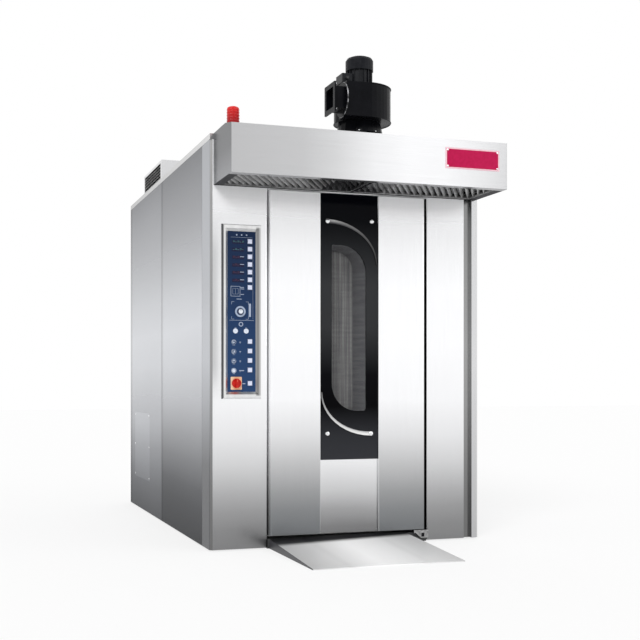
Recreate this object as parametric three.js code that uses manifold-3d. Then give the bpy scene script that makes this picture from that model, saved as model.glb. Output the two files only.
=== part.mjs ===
// Rotating rack oven: an insulated stainless cabinet that bakes a wheeled rack on a driven turntable.
// Millimetres, +Z up. The origin is on the floor, under the centre of the cabinet. The door faces -Y.
import * as THREE from "three";
import { mergeVertices } from "three/addons/utils/BufferGeometryUtils.js";
import { ConvexGeometry } from "three/addons/geometries/ConvexGeometry.js";
import Module from "manifold-3d";

const wasm = await Module();
wasm.setup();

// ---------------------------------------------------------------- driving dimensions

const width = 1575;
const depth = 2450;
const height = 2200;
const touch = 0.3; // gap between pieces that bear on each other
const running = 1; // gap round a piece that turns

// Base, skins and roof.
const baseHeight = 50;
const skin = 20;
const skinLift = 6; // from the floor to the lower edge of the skins
const seam = 3; // open joint between two skins
const roofThickness = 30;
const postDepth = 176; // corner post, measured back from the front
const postBevel = 14;
const sideSeam = 1278; // joint between the two side skins, measured back from the front
const coverLength = 560; // service cover in the left side
const coverHeight = 460;
const coverThickness = 3.5;
const coverFromFront = 1700;
const coverFromFloor = 220;

// Front: control column, door, hinge column, recess and edge strip, from left to right.
const controlColumn = 318;
const columnDepth = 108;
const columnRadius = 12;
const doorGap = 10;
const doorWidth = 907;
const hingeGap = 14;
const recessWidth = 50;
const recessDepth = 25;
const edgeStrip = 43;

// Door.
const doorBottom = 69;
const doorHeight = 1850;
const doorThickness = 95; // from the front plane to the back of the leaf
const bandWidth = 339.5; // the glass between the two proud covers
const bandShift = 2.25; // its centre, right of the middle of the door
const coverProud = 12;
const coverSheet = 15; // from the front plane to the back of a cover
const coverRadius = 12;
const glassBottom = 399; // above the bottom edge of the door
const glassThickness = 6;
const glassInset = 1;
const windowWidth = 202;
const windowHeight = 910;
const windowFromBottom = 664;
const windowLargeRadius = 150;
const windowSmallRadius = 16;
const innerGlassLap = 30;
const gasketInset = 30;
const gasketWidth = 22;
const gasketHeight = 12.4;
const pivotFromEdge = 12.5; // hinge axis, from the right edge of the door
const pivotFromFront = 12;
const pivotRadius = 8;
const pivotLength = 22;
const headerGap = 4; // between the door and the header above it
const trimAcross = 288; // quarter-ellipse trims on the glass
const trimDown = 228;
const trimStart = [-127, 580]; // from the centre of the window
const trimWidth = 22;
const trimTip = 6;
const trimProud = 5;
const capRadius = 12.5;
const capProud = 8;

// Chamber, heater compartment and their insulation.
const linerWall = 6;
const chamberDepth = 1112;
const heaterDepth = 549;
const chamberHeight = 1826;
const insulation = 104;
const sideInsulation = 114;
const jacketClear = 2; // between the insulation and the skins
const topInsulation = 160;
const doorwayInset = 60; // the doorway is this much smaller than the door on each side
const sillAbove = 12; // from the chamber floor to the sill of the doorway
const ductDepth = 88;
const ductSheet = 4;
const ductFrontSpace = 60;
const ductSlotRows = 12;
const ductSlotLength = 400;
const ductSlotHeight = 14;
const returnWidth = 520;
const returnHeight = 420;
const returnFromTop = 90;
const returnBars = 5;
const returnBar = 14;

// Heating elements.
const elementCount = 5;
const elementSpacing = 190;
const elementTube = 11; // radius
const elementSpan = 170; // between the two legs of a hairpin
const elementHeight = 1250;
const elementPlate = 8;

// Turntable and its chain drive.
const tableRadius = 480;
const tableThickness = 6;
const tableTop = 69;
const tableHub = 42; // radius
const railSpacing = 520;
const railWidth = 16;
const railHeight = 26;
const railLength = 620;
const largeTeeth = 24;
const largeSprocket = 102; // outside radius
const smallTeeth = 10;
const smallSprocket = 46;
const toothDepth = 6;
const sprocketLow = 20;
const sprocketThickness = 12;
const chainThickness = 8;
const chainHeight = 18;
const chainTrough = 12; // room round the chain in the base
const troughFloor = 7;
const driveBehindJacket = 138.4; // from the back of the insulation to the drive's axis
const driveShaft = 12; // radius
const gearbox = 150;
const gearboxHeight = 96;
const driveMotor = 66; // radius
const driveMotorHeight = 190;

// Circulation fan.
const fanX = -351;
const fanBehindWall = 352.7; // from the back of the partition to the fan's axis
const fanRadius = 190;
const fanBlades = 10;
const fanHeight = 116;
const fanBelowCeiling = 60;
const fanEye = 120; // radius of the inlet
const fanShaft = 15;
const fanMotor = 92; // radius
const fanMotorHeight = 124;
const shaftHole = 22;
const fanSocket = 24; // how far the shaft reaches into the motor

// Motor box on the roof.
const boxInset = 36; // from the left side
const boxWidth = 740;
const boxLength = 630;
const boxHeight = 155;
const boxBeforeFan = 115; // from the front of the box to the fan's axis
const boxSheet = 4;
const louvreCount = 6;
const louvreBorder = 34;

// Hood.
const hoodInset = 20; // from the side of the cabinet to the end of the hood
const hoodDepth = 360;
const hoodUnderside = 1928.5;
const hoodFrontTop = 2178;
const hoodFlat = 242; // flat part of the top, before it slopes to the front
const hoodSheet = 4;
const hoodEndBorder = 46;
const hoodFrontBorder = 42;
const hoodRearBorder = 16;
const filterLap = 8;
const filterHeight = 20;
const filterFrame = 14;
const filterBridge = 16; // bar of the hood between the two filters
const slatPitch = 36.5; // along the front of the hood
const slatWidth = 20;
const slatThickness = 3;
const slatTurn = 30; // degrees, away from square to the front

// Beacon and blower on the hood.
const beaconFromLeft = 83;
const beaconFromFront = 200; // behind the front of the hood
const beaconFoot = 39; // radius
const beaconFootHeight = 14;
const beaconRadius = 33;
const beaconHeight = 90;
const beaconRibs = 5;
const blowerX = -15;
const blowerFromFront = 180; // behind the front of the hood
const inletRadius = 78;
const collarRadius = 124;
const collarTop = 112;
const collarHeight = 62;
const scrollStart = 128; // radius at the cut-off
const scrollEnd = 172; // radius at the outlet
const scrollHeight = 176;
const scrollWall = 4;
const outletWidth = 104;
const outletEnd = 140; // end of the scroll, from the axis
const outletReach = 205;
const outletDisc = 88; // radius of the round plate on the end of the scroll
const discThickness = 10;
const outletFlange = 152;
const flangeThickness = 8;
const wheelRadius = 96;
const wheelHeight = 118;
const wheelBlades = 24;
const bladeDepth = 20;
const bladeThickness = 2.5;
const ringThickness = 4;
const wheelHub = 22;
const blowerShaft = 9;
const blowerMotor = 62; // radius without its fins
const finReach = 7;
const finCount = 16;
const blowerMotorHeight = 120;
const motorFlange = 74;
const terminalBox = [54, 84, 52];
const cowlRadius = 74;
const cowlHeight = 62;

// Control panel.
const panelCentreX = 171; // from the left side
const panelCentreZ = 1265;
const bezelWidth = 218;
const bezelHeight = 925;
const bezelProud = 22;
const bezelSplay = 7;
const faceWidth = 154; // visible part of the coloured panel
const faceHeight = 850;
const bezelSlope = 14;
const faceBehind = 8; // from the column to the front of the panel
const faceThickness = 3.5;
const faceLap = 8;
const pocketDepth = 46;
const keyX = 45; // from the centre line of the panel
const upperKeys = { count: 7, first: 373, pitch: 40.7 };
const lowerKeys = { count: 4, first: -158, pitch: 50.4 };
const lastKey = -380;
const keySize = 26;
const keyProud = 4;
const keyBevel = 1.5;
const keyFlange = 3;
const keyTravel = 2;
const dialPlace = [-8, 0];
const dialRadius = 30;
const dialKnob = 15;
const dialProud = 14;
const switchPlace = [-30, -380];
const switchPlate = [61, 68];
const plateProud = 2;
const switchRadius = 25;
const switchGrip = 12;
const switchProud = 26;
const spindleRadius = 5;
const spindleLength = 22;

// Ramp.
const rampClear = 107; // from the ramp to the right edge of the door
const rampLength = 700;
const rampRear = 50;
const rampSheet = 4;
const rampNose = 5;
const rampFlange = 3;
const rampBays = 3;

// Lower hinge block.
const blockWidth = 86;
const blockReach = 24; // in front of the cabinet
const blockBack = 70;
const blockLip = 28;
const blockPlate = 6;
const blockPocket = 18;

// ---------------------------------------------------------------- places that follow

const left = -width / 2;
const right = width / 2;
const front = -depth / 2;
const rear = depth / 2;
const skinTop = height - roofThickness - touch;
const doorLeft = left + controlColumn + doorGap;
const doorRight = doorLeft + doorWidth;
const hingeColumnLeft = doorRight + hingeGap;
const edgeLeft = right - edgeStrip;
const recessLeft = edgeLeft - recessWidth;
const postRear = front + postDepth;
const linerHalf = width / 2 - skin - jacketClear - sideInsulation - touch;
const chamberHalf = linerHalf - linerWall;
const linerFront = front + columnDepth + touch;
const chamberFront = linerFront + linerWall;
const chamberRear = chamberFront + chamberDepth;
const heaterFront = chamberRear + linerWall;
const heaterRear = heaterFront + heaterDepth;
const linerBottom = baseHeight + touch;
const chamberFloor = linerBottom + linerWall;
const chamberTop = chamberFloor + chamberHeight;
const tableY = chamberFront + chamberDepth / 2;
const jacketRear = heaterRear + linerWall + touch + insulation;
const motorY = jacketRear + driveBehindJacket;
const fanY = heaterFront + fanBehindWall;
const doorTop = doorBottom + doorHeight;
const leftCover = (doorWidth - bandWidth) / 2 + bandShift;
const rightCover = (doorWidth - bandWidth) / 2 - bandShift;
const centreLeft = leftCover + touch; // centre panel of the door, from its left edge
const centreRight = doorWidth - rightCover - touch;
const windowX = (leftCover + doorWidth - rightCover) / 2;
const windowZ = windowFromBottom + windowHeight / 2;
const pivotX = doorWidth - pivotFromEdge;
const blowerY = front - hoodDepth + blowerFromFront;
const panelX = left + panelCentreX;
const keyRows = [
  ...Array.from({ length: upperKeys.count }, (_, i) => upperKeys.first - i * upperKeys.pitch),
  ...Array.from({ length: lowerKeys.count }, (_, i) => lowerKeys.first - i * lowerKeys.pitch),
  lastKey,
];

// ---------------------------------------------------------------- finishes

const finish = (color, roughness, metalness) =>
  new THREE.MeshStandardMaterial({ color, roughness, metalness });
const stainless = finish(0xc9cbcd, 0.28, 1);
const brightStainless = finish(0xe2e4e6, 0.15, 1);
const galvanised = finish(0x9ea3a6, 0.5, 0.9);
const darkSteel = finish(0x4a4d50, 0.6, 0.8);
const wool = finish(0xb9a878, 0.95, 0);
const blackPaint = finish(0x121315, 0.45, 0.2);
const blackGlass = finish(0x0b0c0e, 0.08, 0);
const clearGlass = finish(0x9fb0b4, 0.05, 0);
const silicone = finish(0x2b2b2b, 0.8, 0);
const redLens = finish(0xd4100c, 0.25, 0);
const blackPlastic = finish(0x1a1a1c, 0.6, 0);
const bluePanel = finish(0x1c2f66, 0.4, 0);
const whiteKey = finish(0xe9e9f4, 0.4, 0);
const redPlastic = finish(0xc81e14, 0.35, 0);

// ---------------------------------------------------------------- solids

// A closed geometry as a solid that can be cut and joined.
function solid(geometry) {
  const bare = geometry.index ? geometry.toNonIndexed() : geometry.clone();
  bare.deleteAttribute("normal");
  bare.deleteAttribute("uv");
  const merged = mergeVertices(bare, 1e-3);
  const mesh = new wasm.Mesh({
    numProp: 3,
    vertProperties: merged.attributes.position.array,
    triVerts: new Uint32Array(merged.index.array),
  });
  return new wasm.Manifold(mesh);
}

const join = (...solids) => solids.flat().reduce((whole, next) => whole.add(next));
const cut = (whole, ...tools) => tools.flat().reduce((rest, tool) => rest.subtract(tool), whole);
const span = ([low, high]) => high - low;
const middle = ([low, high]) => (low + high) / 2;
const range = (count) => Array.from({ length: count }, (_, i) => i);

// A block between three pairs of limits.
function block(x, y, z) {
  const geometry = new THREE.BoxGeometry(span(x), span(y), span(z));
  return solid(geometry.translate(middle(x), middle(y), middle(z)));
}

const outline = (points) => new THREE.Shape(points.map(([a, b]) => new THREE.Vector2(a, b)));
const extrude = (shape, length, curveSegments = 5) =>
  new THREE.ExtrudeGeometry(shape, { depth: length, bevelEnabled: false, curveSegments });

// An outline in X and Y, extruded up.
const upright = (shape, z, segments) =>
  solid(extrude(shape, span(z), segments).translate(0, 0, z[0]));

// An outline in Y and Z, extruded along X.
function across(shape, x, segments) {
  const turn = new THREE.Matrix4().makeBasis(
    new THREE.Vector3(0, 1, 0),
    new THREE.Vector3(0, 0, 1),
    new THREE.Vector3(1, 0, 0),
  );
  return solid(extrude(shape, span(x), segments).applyMatrix4(turn).translate(x[0], 0, 0));
}

// An outline in X and Z, extruded along Y.
function facing(shape, y, segments) {
  const turn = new THREE.Matrix4().makeBasis(
    new THREE.Vector3(1, 0, 0),
    new THREE.Vector3(0, 0, 1),
    new THREE.Vector3(0, -1, 0),
  );
  return solid(extrude(shape, span(y), segments).applyMatrix4(turn).translate(0, y[1], 0));
}

// A rectangle with its own radius at each corner: lower left, lower right, upper right, upper left.
function rectangle(x, z, [lowerLeft, lowerRight, upperRight, upperLeft]) {
  const shape = new THREE.Shape();
  const corner = (cx, cz, radius, start) => {
    if (radius > 0) shape.absarc(cx, cz, radius, start, start + Math.PI / 2, false);
    else shape.lineTo(cx, cz);
  };
  shape.moveTo(x[0] + lowerLeft, z[0]);
  corner(x[1] - lowerRight, z[0] + lowerRight, lowerRight, -Math.PI / 2);
  corner(x[1] - upperRight, z[1] - upperRight, upperRight, 0);
  corner(x[0] + upperLeft, z[1] - upperLeft, upperLeft, Math.PI / 2);
  corner(x[0] + lowerLeft, z[0] + lowerLeft, lowerLeft, Math.PI);
  return shape;
}

const rounded = (x, z, radius) => rectangle(x, z, [radius, radius, radius, radius]);

// An upright cylinder.
function rod(radius, z, x = 0, y = 0, sides = 16) {
  const geometry = new THREE.CylinderGeometry(radius, radius, span(z), sides);
  return solid(geometry.rotateX(Math.PI / 2).translate(x, y, middle(z)));
}

// A cylinder that points at the front of the oven.
function spindle(radius, y, x = 0, z = 0, sides = 16) {
  const geometry = new THREE.CylinderGeometry(radius, radius, span(y), sides);
  return solid(geometry.translate(x, middle(y), z));
}

// A profile of radius and height, revolved about the vertical.
function revolved(profile, sides = 24) {
  const points = profile.map(([r, z]) => new THREE.Vector2(r, z));
  return solid(new THREE.LatheGeometry(points, sides).rotateX(Math.PI / 2));
}

// A block whose front face is larger or smaller than its back face.
function tapered(frontX, frontZ, backX, backZ, y) {
  const face = (xs, zs, at) => xs.flatMap((x) => zs.map((z) => new THREE.Vector3(x, at, z)));
  return solid(new ConvexGeometry([...face(frontX, frontZ, y[0]), ...face(backX, backZ, y[1])]));
}

const polar = (radius, angle) => [radius * Math.cos(angle), radius * Math.sin(angle)];

// A curved blade between two radii, swept back by an angle.
function blade(inner, outer, sweep, thickness, z, steps = 4) {
  const line = range(steps + 1).map((i) => {
    const share = i / steps;
    return [inner + (outer - inner) * share, sweep * share * share];
  });
  const side = (offset) => line.map(([r, a]) => polar(r, a + offset / r));
  return upright(outline([...side(-thickness / 2), ...side(thickness / 2).reverse()]), z);
}

const turned = (whole, count) => range(count).map((i) => whole.rotate([0, 0, (360 * i) / count]));

// ---------------------------------------------------------------- scene graph

const oven = new THREE.Group();

function piece(name, whole, material, parent = oven) {
  const { vertProperties, triVerts } = whole.getMesh();
  const geometry = new THREE.BufferGeometry();
  geometry.setAttribute("position", new THREE.BufferAttribute(vertProperties, 3));
  geometry.setIndex(new THREE.BufferAttribute(triVerts, 1));
  const mesh = new THREE.Mesh(geometry, material);
  mesh.name = name;
  parent.add(mesh);
  return mesh;
}

function group(x, y, z) {
  const made = new THREE.Group();
  made.position.set(x, y, z);
  oven.add(made);
  return made;
}

// ---------------------------------------------------------------- base and chain drive

// The closed line of a belt round two pulleys on the same X, seen from above.
function beltLine(radiusFront, yFront, radiusRear, yRear, steps = 14) {
  const lean = Math.asin((radiusFront - radiusRear) / (yRear - yFront));
  const arc = (radius, y, from, to) =>
    range(steps + 1).map((i) => {
      const [px, py] = polar(radius, from + ((to - from) * i) / steps);
      return [px, y + py];
    });
  return [
    ...arc(radiusFront, yFront, Math.PI - lean, 2 * Math.PI + lean),
    ...arc(radiusRear, yRear, lean, Math.PI - lean),
  ];
}

const chainLoop = (offset) =>
  outline(beltLine(largeSprocket + offset, tableY, smallSprocket + offset, motorY));

function baseFrame() {
  const y = [front + skin + touch, rear - skin - touch];
  const x = [left + skin + touch, right - skin - touch];
  const sill = [doorLeft - doorGap + touch, hingeColumnLeft - touch];
  return cut(
    join(
      block(x, [y[0] + columnDepth, y[1]], [0, baseHeight]),
      block(sill, [front + seam, y[0] + columnDepth + skin], [0, baseHeight]),
    ),
    upright(chainLoop(chainThickness + chainTrough), [troughFloor, baseHeight + skin]),
  );
}

function sprocket(teeth, radius, z) {
  const step = (2 * Math.PI) / teeth;
  const tooth = [
    [radius - toothDepth, -0.42],
    [radius, -0.16],
    [radius, 0.16],
    [radius - toothDepth, 0.42],
  ];
  return upright(
    outline(range(teeth).flatMap((i) => tooth.map(([r, at]) => polar(r, step * (i + at))))),
    z,
  );
}

const sprocketBand = [sprocketLow, sprocketLow + sprocketThickness];

function chain() {
  const middleZ = middle(sprocketBand);
  const z = [middleZ - chainHeight / 2, middleZ + chainHeight / 2];
  return cut(
    upright(chainLoop(chainThickness), z),
    upright(chainLoop(running), [z[0] - running, z[1] + running]),
  );
}

// The table: a disc on a hub, its chain wheel below, and the rails that hold the rack above.
function turntable() {
  const low = tableTop - tableThickness;
  const foot = troughFloor + touch;
  const disc = revolved([
    [0, foot],
    [tableHub, foot],
    [tableHub, low],
    [tableRadius, low],
    [tableRadius, tableTop - 2],
    [tableRadius - 2, tableTop],
    [0, tableTop],
    [0, foot],
  ], 40);
  const rails = [-1, 1].map((side) => {
    const x = [(side * railSpacing - railWidth) / 2, (side * railSpacing + railWidth) / 2];
    return block(x, [-railLength / 2, railLength / 2], [low + 1, tableTop + railHeight]);
  });
  const stop = block(
    [-railSpacing / 2, railSpacing / 2],
    [railLength / 2 - railWidth, railLength / 2],
    [low + 1, tableTop + railHeight],
  );
  return join(disc, rails, stop, sprocket(largeTeeth, largeSprocket, sprocketBand));
}

function driveSprocket() {
  return join(
    sprocket(smallTeeth, smallSprocket, sprocketBand),
    rod(driveShaft, [troughFloor + 3, baseHeight + gearboxHeight / 2]),
  );
}

function turntableDrive() {
  const low = baseHeight + touch;
  const top = low + gearboxHeight;
  const half = gearbox / 2;
  const fins = range(6).map((i) =>
    block([driveMotor - 3, driveMotor + 7], [-2, 2], [top + 22, top + driveMotorHeight - 40]).rotate([
      0,
      0,
      60 * i,
    ]),
  );
  const motor = revolved([
    [0, top - 4],
    [driveMotor + 10, top - 4],
    [driveMotor + 10, top + 10],
    [driveMotor, top + 16],
    [driveMotor, top + driveMotorHeight - 18],
    [driveMotor - 16, top + driveMotorHeight],
    [0, top + driveMotorHeight],
    [0, top - 4],
  ], 24);
  const house = upright(rounded([-half, half], [-half, half], 18), [low, top]);
  const socket = rod(driveShaft + running, [low - 1, baseHeight + gearboxHeight / 2 + running]);
  return cut(join(house, motor, fins), socket);
}

piece("base_frame", baseFrame(), darkSteel);
piece("drive_chain", chain(), darkSteel);
const table = group(0, tableY, 0);
piece("turntable", turntable(), galvanised, table);
const drive = group(0, motorY, 0);
piece("drive_sprocket", driveSprocket(), darkSteel, drive);
piece("turntable_drive", turntableDrive(), galvanised, drive);

// ---------------------------------------------------------------- chamber

const doorway = {
  x: [doorLeft + doorwayInset, doorRight - doorwayInset],
  z: [chamberFloor + sillAbove, doorTop - doorwayInset],
};

// Two cells of welded sheet: the baking chamber in front, the heater compartment behind it.
function chamberLiner() {
  const x = [-chamberHalf, chamberHalf];
  const z = [chamberFloor, chamberTop];
  const partition = [chamberRear - 1, heaterFront + 1];
  const supplySlots = [-1, 1].map((side) => {
    const edges = [side * (chamberHalf - 10), side * (chamberHalf - ductDepth + 10)];
    return block(edges.sort((a, b) => a - b), partition, [z[0] + 200, z[1] - 200]);
  });
  const returnTop = z[1] - returnFromTop;
  const pitch = returnHeight / (returnBars + 1);
  const grille = range(returnBars).map((i) => {
    const at = returnTop - pitch * (i + 1);
    return block(
      [-returnWidth / 2 - 1, returnWidth / 2 + 1],
      [chamberRear, heaterFront],
      [at - returnBar / 2, at + returnBar / 2],
    );
  });
  const shell = cut(
    block([-linerHalf, linerHalf], [linerFront, heaterRear + linerWall], [linerBottom, z[1] + linerWall]),
    block(x, [chamberFront, chamberRear], z),
    block(x, [heaterFront, heaterRear], z),
    block(doorway.x, [linerFront - 1, chamberFront + 1], doorway.z),
    supplySlots,
    block([-returnWidth / 2, returnWidth / 2], partition, [returnTop - returnHeight, returnTop]),
    rod(tableHub + 4, [linerBottom - 1, chamberFloor + 1], 0, tableY, 32),
    rod(shaftHole, [z[1] - 1, z[1] + linerWall + 1], fanX, fanY),
  );
  return join(shell, grille);
}

function insulationJacket() {
  const half = linerHalf + touch;
  const top = chamberTop + linerWall + touch;
  const jacketFront = linerFront + 4;
  return cut(
    block(
      [-half - sideInsulation, half + sideInsulation],
      [jacketFront, jacketRear],
      [baseHeight + touch, top + topInsulation],
    ),
    block([-half, half], [jacketFront - 1, jacketRear - insulation], [0, top]),
    rod(shaftHole, [top - 1, top + topInsulation + 1], fanX, fanY),
  );
}

// A slotted sheet that stands in front of the side wall and guides hot air into the chamber.
function airDuct(side) {
  const y = [chamberFront + ductFrontSpace, chamberRear - touch];
  const z = [chamberFloor + touch, chamberTop - touch];
  const inner = side * (chamberHalf - ductDepth);
  const wall = side * (chamberHalf - touch);
  const sorted = (a, b) => [Math.min(a, b), Math.max(a, b)];
  const sheet = sorted(inner, inner + side * ductSheet);
  const pitch = span(z) / (ductSlotRows + 1);
  const bridge = (span(y) - 2 * ductSlotLength) / 3;
  const slots = range(ductSlotRows * 2).map((i) => {
    const at = z[0] + pitch * (1 + (i >> 1));
    const start = y[0] + bridge + (i % 2) * (ductSlotLength + bridge);
    return block(
      [sheet[0] - 1, sheet[1] + 1],
      [start, start + ductSlotLength],
      [at - ductSlotHeight / 2, at + ductSlotHeight / 2],
    );
  });
  return cut(
    join(block(sheet, y, z), block(sorted(inner, wall), [y[0], y[0] + ductSheet], z)),
    slots,
  );
}

// The centre line of a hairpin tube: up one leg, over the bend and down the other leg.
class Hairpin extends THREE.Curve {
  constructor(radius, legHeight, bendSteps) {
    super();
    Object.assign(this, { radius, legHeight, steps: bendSteps + 2 });
  }
  getPoint(t, target = new THREE.Vector3()) {
    const step = t * this.steps;
    const bend = Math.min(Math.max((step - 1) / (this.steps - 2), 0), 1);
    const leg = step < 1 ? step : Math.min(this.steps - step, 1);
    const [y, rise] = polar(this.radius, Math.PI * bend);
    return target.set(0, y, this.legHeight * leg + rise);
  }
  // Rings are spaced evenly in t, so each leg is one step and the bend has the rest.
  getUtoTmapping(u) {
    return u;
  }
}

// Hairpin heating tubes that stand on one plate.
function heaterBank() {
  const low = chamberFloor + touch;
  const half = elementSpan / 2;
  const y = (heaterFront + heaterRear) / 2;
  const ring = outline(range(6).map((i) => polar(elementTube, (Math.PI * i) / 3)));
  const path = new Hairpin(half, elementHeight, 6);
  const tube = new THREE.ExtrudeGeometry(ring, { steps: path.steps, extrudePath: path });
  const hairpin = solid(tube).translate([0, y, low + 1]);
  const reach = (elementSpacing * elementCount) / 2;
  const pins = range(elementCount).map((i) =>
    hairpin.translate([elementSpacing * (i - (elementCount - 1) / 2), 0, 0]),
  );
  return join(block([-reach, reach], [y - half - 50, y + half + 50], [low, low + elementPlate]), pins);
}

piece("chamber_liner", chamberLiner(), brightStainless);
piece("insulation_jacket", insulationJacket(), wool);
piece("air_duct_left", airDuct(-1), stainless);
piece("air_duct_right", airDuct(1), stainless);
piece("heater_bank", heaterBank(), darkSteel);

// ---------------------------------------------------------------- circulation fan

const fanLow = chamberTop - fanBelowCeiling - fanHeight;

function circulationImpeller() {
  const top = fanLow + fanHeight;
  const ring = revolved([
    [fanEye, fanLow],
    [fanRadius, fanLow],
    [fanRadius, fanLow + ringThickness],
    [fanEye, fanLow + ringThickness],
    [fanEye, fanLow],
  ]);
  const plate = revolved([
    [0, top - 46],
    [34, top - 46],
    [40, top - ringThickness],
    [fanRadius, top - ringThickness],
    [fanRadius, top],
    [0, top],
    [0, top - 46],
  ]);
  const vane = blade(fanEye - 12, fanRadius - 2, -0.75, 5, [fanLow + 1, top - 1]);
  const shaft = rod(fanShaft, [top - 6, height + touch + fanSocket]);
  return join(ring, plate, turned(vane, fanBlades), shaft);
}

function circulationMotor() {
  const low = height + touch;
  const top = low + fanMotorHeight;
  const body = revolved([
    [0, low],
    [fanMotor + 14, low],
    [fanMotor + 14, low + 12],
    [fanMotor, low + 18],
    [fanMotor, top - 22],
    [fanMotor - 24, top],
    [0, top],
    [0, low],
  ]);
  const fin = block([fanMotor - 4, fanMotor + 9], [-2, 2], [low + 20, top - 24]);
  const socket = rod(fanShaft + running, [low - 1, low + fanSocket + running]);
  return cut(join(body, turned(fin, 10)), socket);
}

const fan = group(fanX, fanY, 0);
piece("circulation_impeller", circulationImpeller(), stainless, fan);
piece("circulation_motor", circulationMotor(), galvanised, fan);

// ---------------------------------------------------------------- skins, posts and roof

const skinBand = [skinLift, skinTop];
const rearSkinX = [left + skin + touch, right - skin - touch];

function sideSkin(side, y) {
  const x = side < 0 ? [left, left + skin] : [right - skin, right];
  return block(x, y, skinBand);
}

const frontSkinY = [postRear + seam, front + sideSeam - seam / 2];
const rearSkinY = [front + sideSeam + seam / 2, rear];
const coverY = [front + coverFromFront, front + coverFromFront + coverLength];
const coverZ = [coverFromFloor, coverFromFloor + coverHeight];
const grow = ([low, high], by) => [low - by, high + by];

function leftRearSkin() {
  const rebate = block([left - 1, left + coverThickness + touch], grow(coverY, touch), grow(coverZ, touch));
  const hatch = block([left - 1, left + skin + 1], grow(coverY, -24), grow(coverZ, -24));
  return cut(sideSkin(-1, rearSkinY), rebate, hatch);
}

function accessCover() {
  const radius = 6;
  return across(rounded(coverY, coverZ, radius), [left, left + coverThickness], 2);
}

// The left corner post: a bevelled edge at the front and a return along the side.
function leftPost() {
  const bevelX = left + postBevel;
  return upright(
    outline([
      [left, postRear],
      [left, front + postBevel],
      [bevelX, front],
      [bevelX, front + skin],
      [left + skin, front + skin + postBevel / 2],
      [left + skin, postRear],
    ].reverse()),
    skinBand,
  );
}

// The right corner post: a sunk strip, then an edge strip flush with the front, then the side.
function rightPost() {
  return upright(
    outline([
      [recessLeft + touch, front + recessDepth],
      [edgeLeft, front + recessDepth],
      [edgeLeft, front],
      [right - postBevel, front],
      [right, front + postBevel],
      [right, postRear],
      [right - skin, postRear],
      [right - skin, front + recessDepth + skin],
      [recessLeft + touch, front + recessDepth + skin],
    ]),
    skinBand,
  );
}

function column(x, radii) {
  const y = [front, front + columnDepth];
  return upright(rectangle(x, y, radii), skinBand);
}

const faceBand = {
  x: grow([-faceWidth / 2, faceWidth / 2], faceLap),
  z: grow([-faceHeight / 2, faceHeight / 2], faceLap),
};
const shift = ([low, high], by) => [low + by, high + by];

function controlColumnPiece() {
  const x = [left + postBevel + touch, left + controlColumn];
  const pocket = block(
    shift(grow(faceBand.x, -faceLap), panelX),
    [front - 1, front + pocketDepth],
    shift(grow(faceBand.z, -faceLap), panelCentreZ),
  );
  return cut(
    column(x, [0, columnRadius, 0, 0]),
    block([left, left + skin + touch], [front + skin - touch, front + columnDepth + 1], grow(skinBand, 1)),
    upright(
      outline([
        [left, front + skin - touch],
        [left + postBevel + touch, front + skin - touch],
        [left + skin + touch, front + skin + postBevel / 2],
        [left + skin + touch, front + columnDepth + 1],
        [left, front + columnDepth + 1],
      ]),
      grow(skinBand, 1),
    ),
    pocket,
  );
}

function roofPanel() {
  const sheet = block([left, right], [front, rear], [height - roofThickness, height]);
  return cut(sheet, rod(shaftHole, [height - roofThickness - 1, height + 1], fanX, fanY));
}

// The header closes the front above the door and carries the upper pivot pin.
function frontHeader() {
  const x = [left + controlColumn + touch, hingeColumnLeft - touch];
  const low = doorTop + headerGap;
  return join(
    block(x, [front, front + columnDepth], [low, skinTop]),
    rod(pivotRadius, [doorTop - pivotLength, low + 1], doorLeft + pivotX, front + pivotFromFront),
  );
}

// The lower hinge block stands on the base. Its front is a gusset that narrows downwards, with a
// pocket for the nut of the pivot pin.
function lowerHingeBlock() {
  const x = [hingeColumnLeft - touch - blockWidth, hingeColumnLeft - touch];
  const low = baseHeight + touch;
  const top = doorBottom - 3;
  const y = [front - blockReach, front + blockBack];
  const gusset = outline([
    [x[0], top - blockPlate],
    [x[0] + blockWidth / 2, low - blockLip],
    [x[1], low - blockLip],
    [x[1], top],
    [x[0], top],
  ]);
  return join(
    block(x, y, [low, top]),
    cut(
      facing(gusset, [y[0], front + seam - touch]),
      block(grow([x[0] + blockWidth * 0.62, x[0] + blockWidth * 0.62], blockPocket / 2),
        [y[0] - 1, y[0] + blockPocket], [low - blockLip + blockPlate, top - blockPlate]),
    ),
    rod(pivotRadius, [top - 1, doorBottom + pivotLength], doorLeft + pivotX, front + pivotFromFront),
  );
}

piece("side_panel_left_front", sideSkin(-1, frontSkinY), stainless);
piece("side_panel_left_rear", leftRearSkin(), stainless);
piece("side_panel_right_front", sideSkin(1, frontSkinY), stainless);
piece("side_panel_right_rear", sideSkin(1, rearSkinY), stainless);
piece("rear_panel", block(rearSkinX, [rear - skin, rear], skinBand), stainless);
piece("access_cover", accessCover(), stainless);
piece("corner_post_left", leftPost(), brightStainless);
piece("corner_post_right", rightPost(), brightStainless);
piece("control_column", controlColumnPiece(), stainless);
piece("hinge_column", column([hingeColumnLeft, recessLeft], [columnRadius, 0, 0, 0]), stainless);
piece("front_header", frontHeader(), stainless);
piece("lower_hinge_block", lowerHingeBlock(), brightStainless);
piece("roof_panel", roofPanel(), stainless);

// ---------------------------------------------------------------- motor box on the roof

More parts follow.
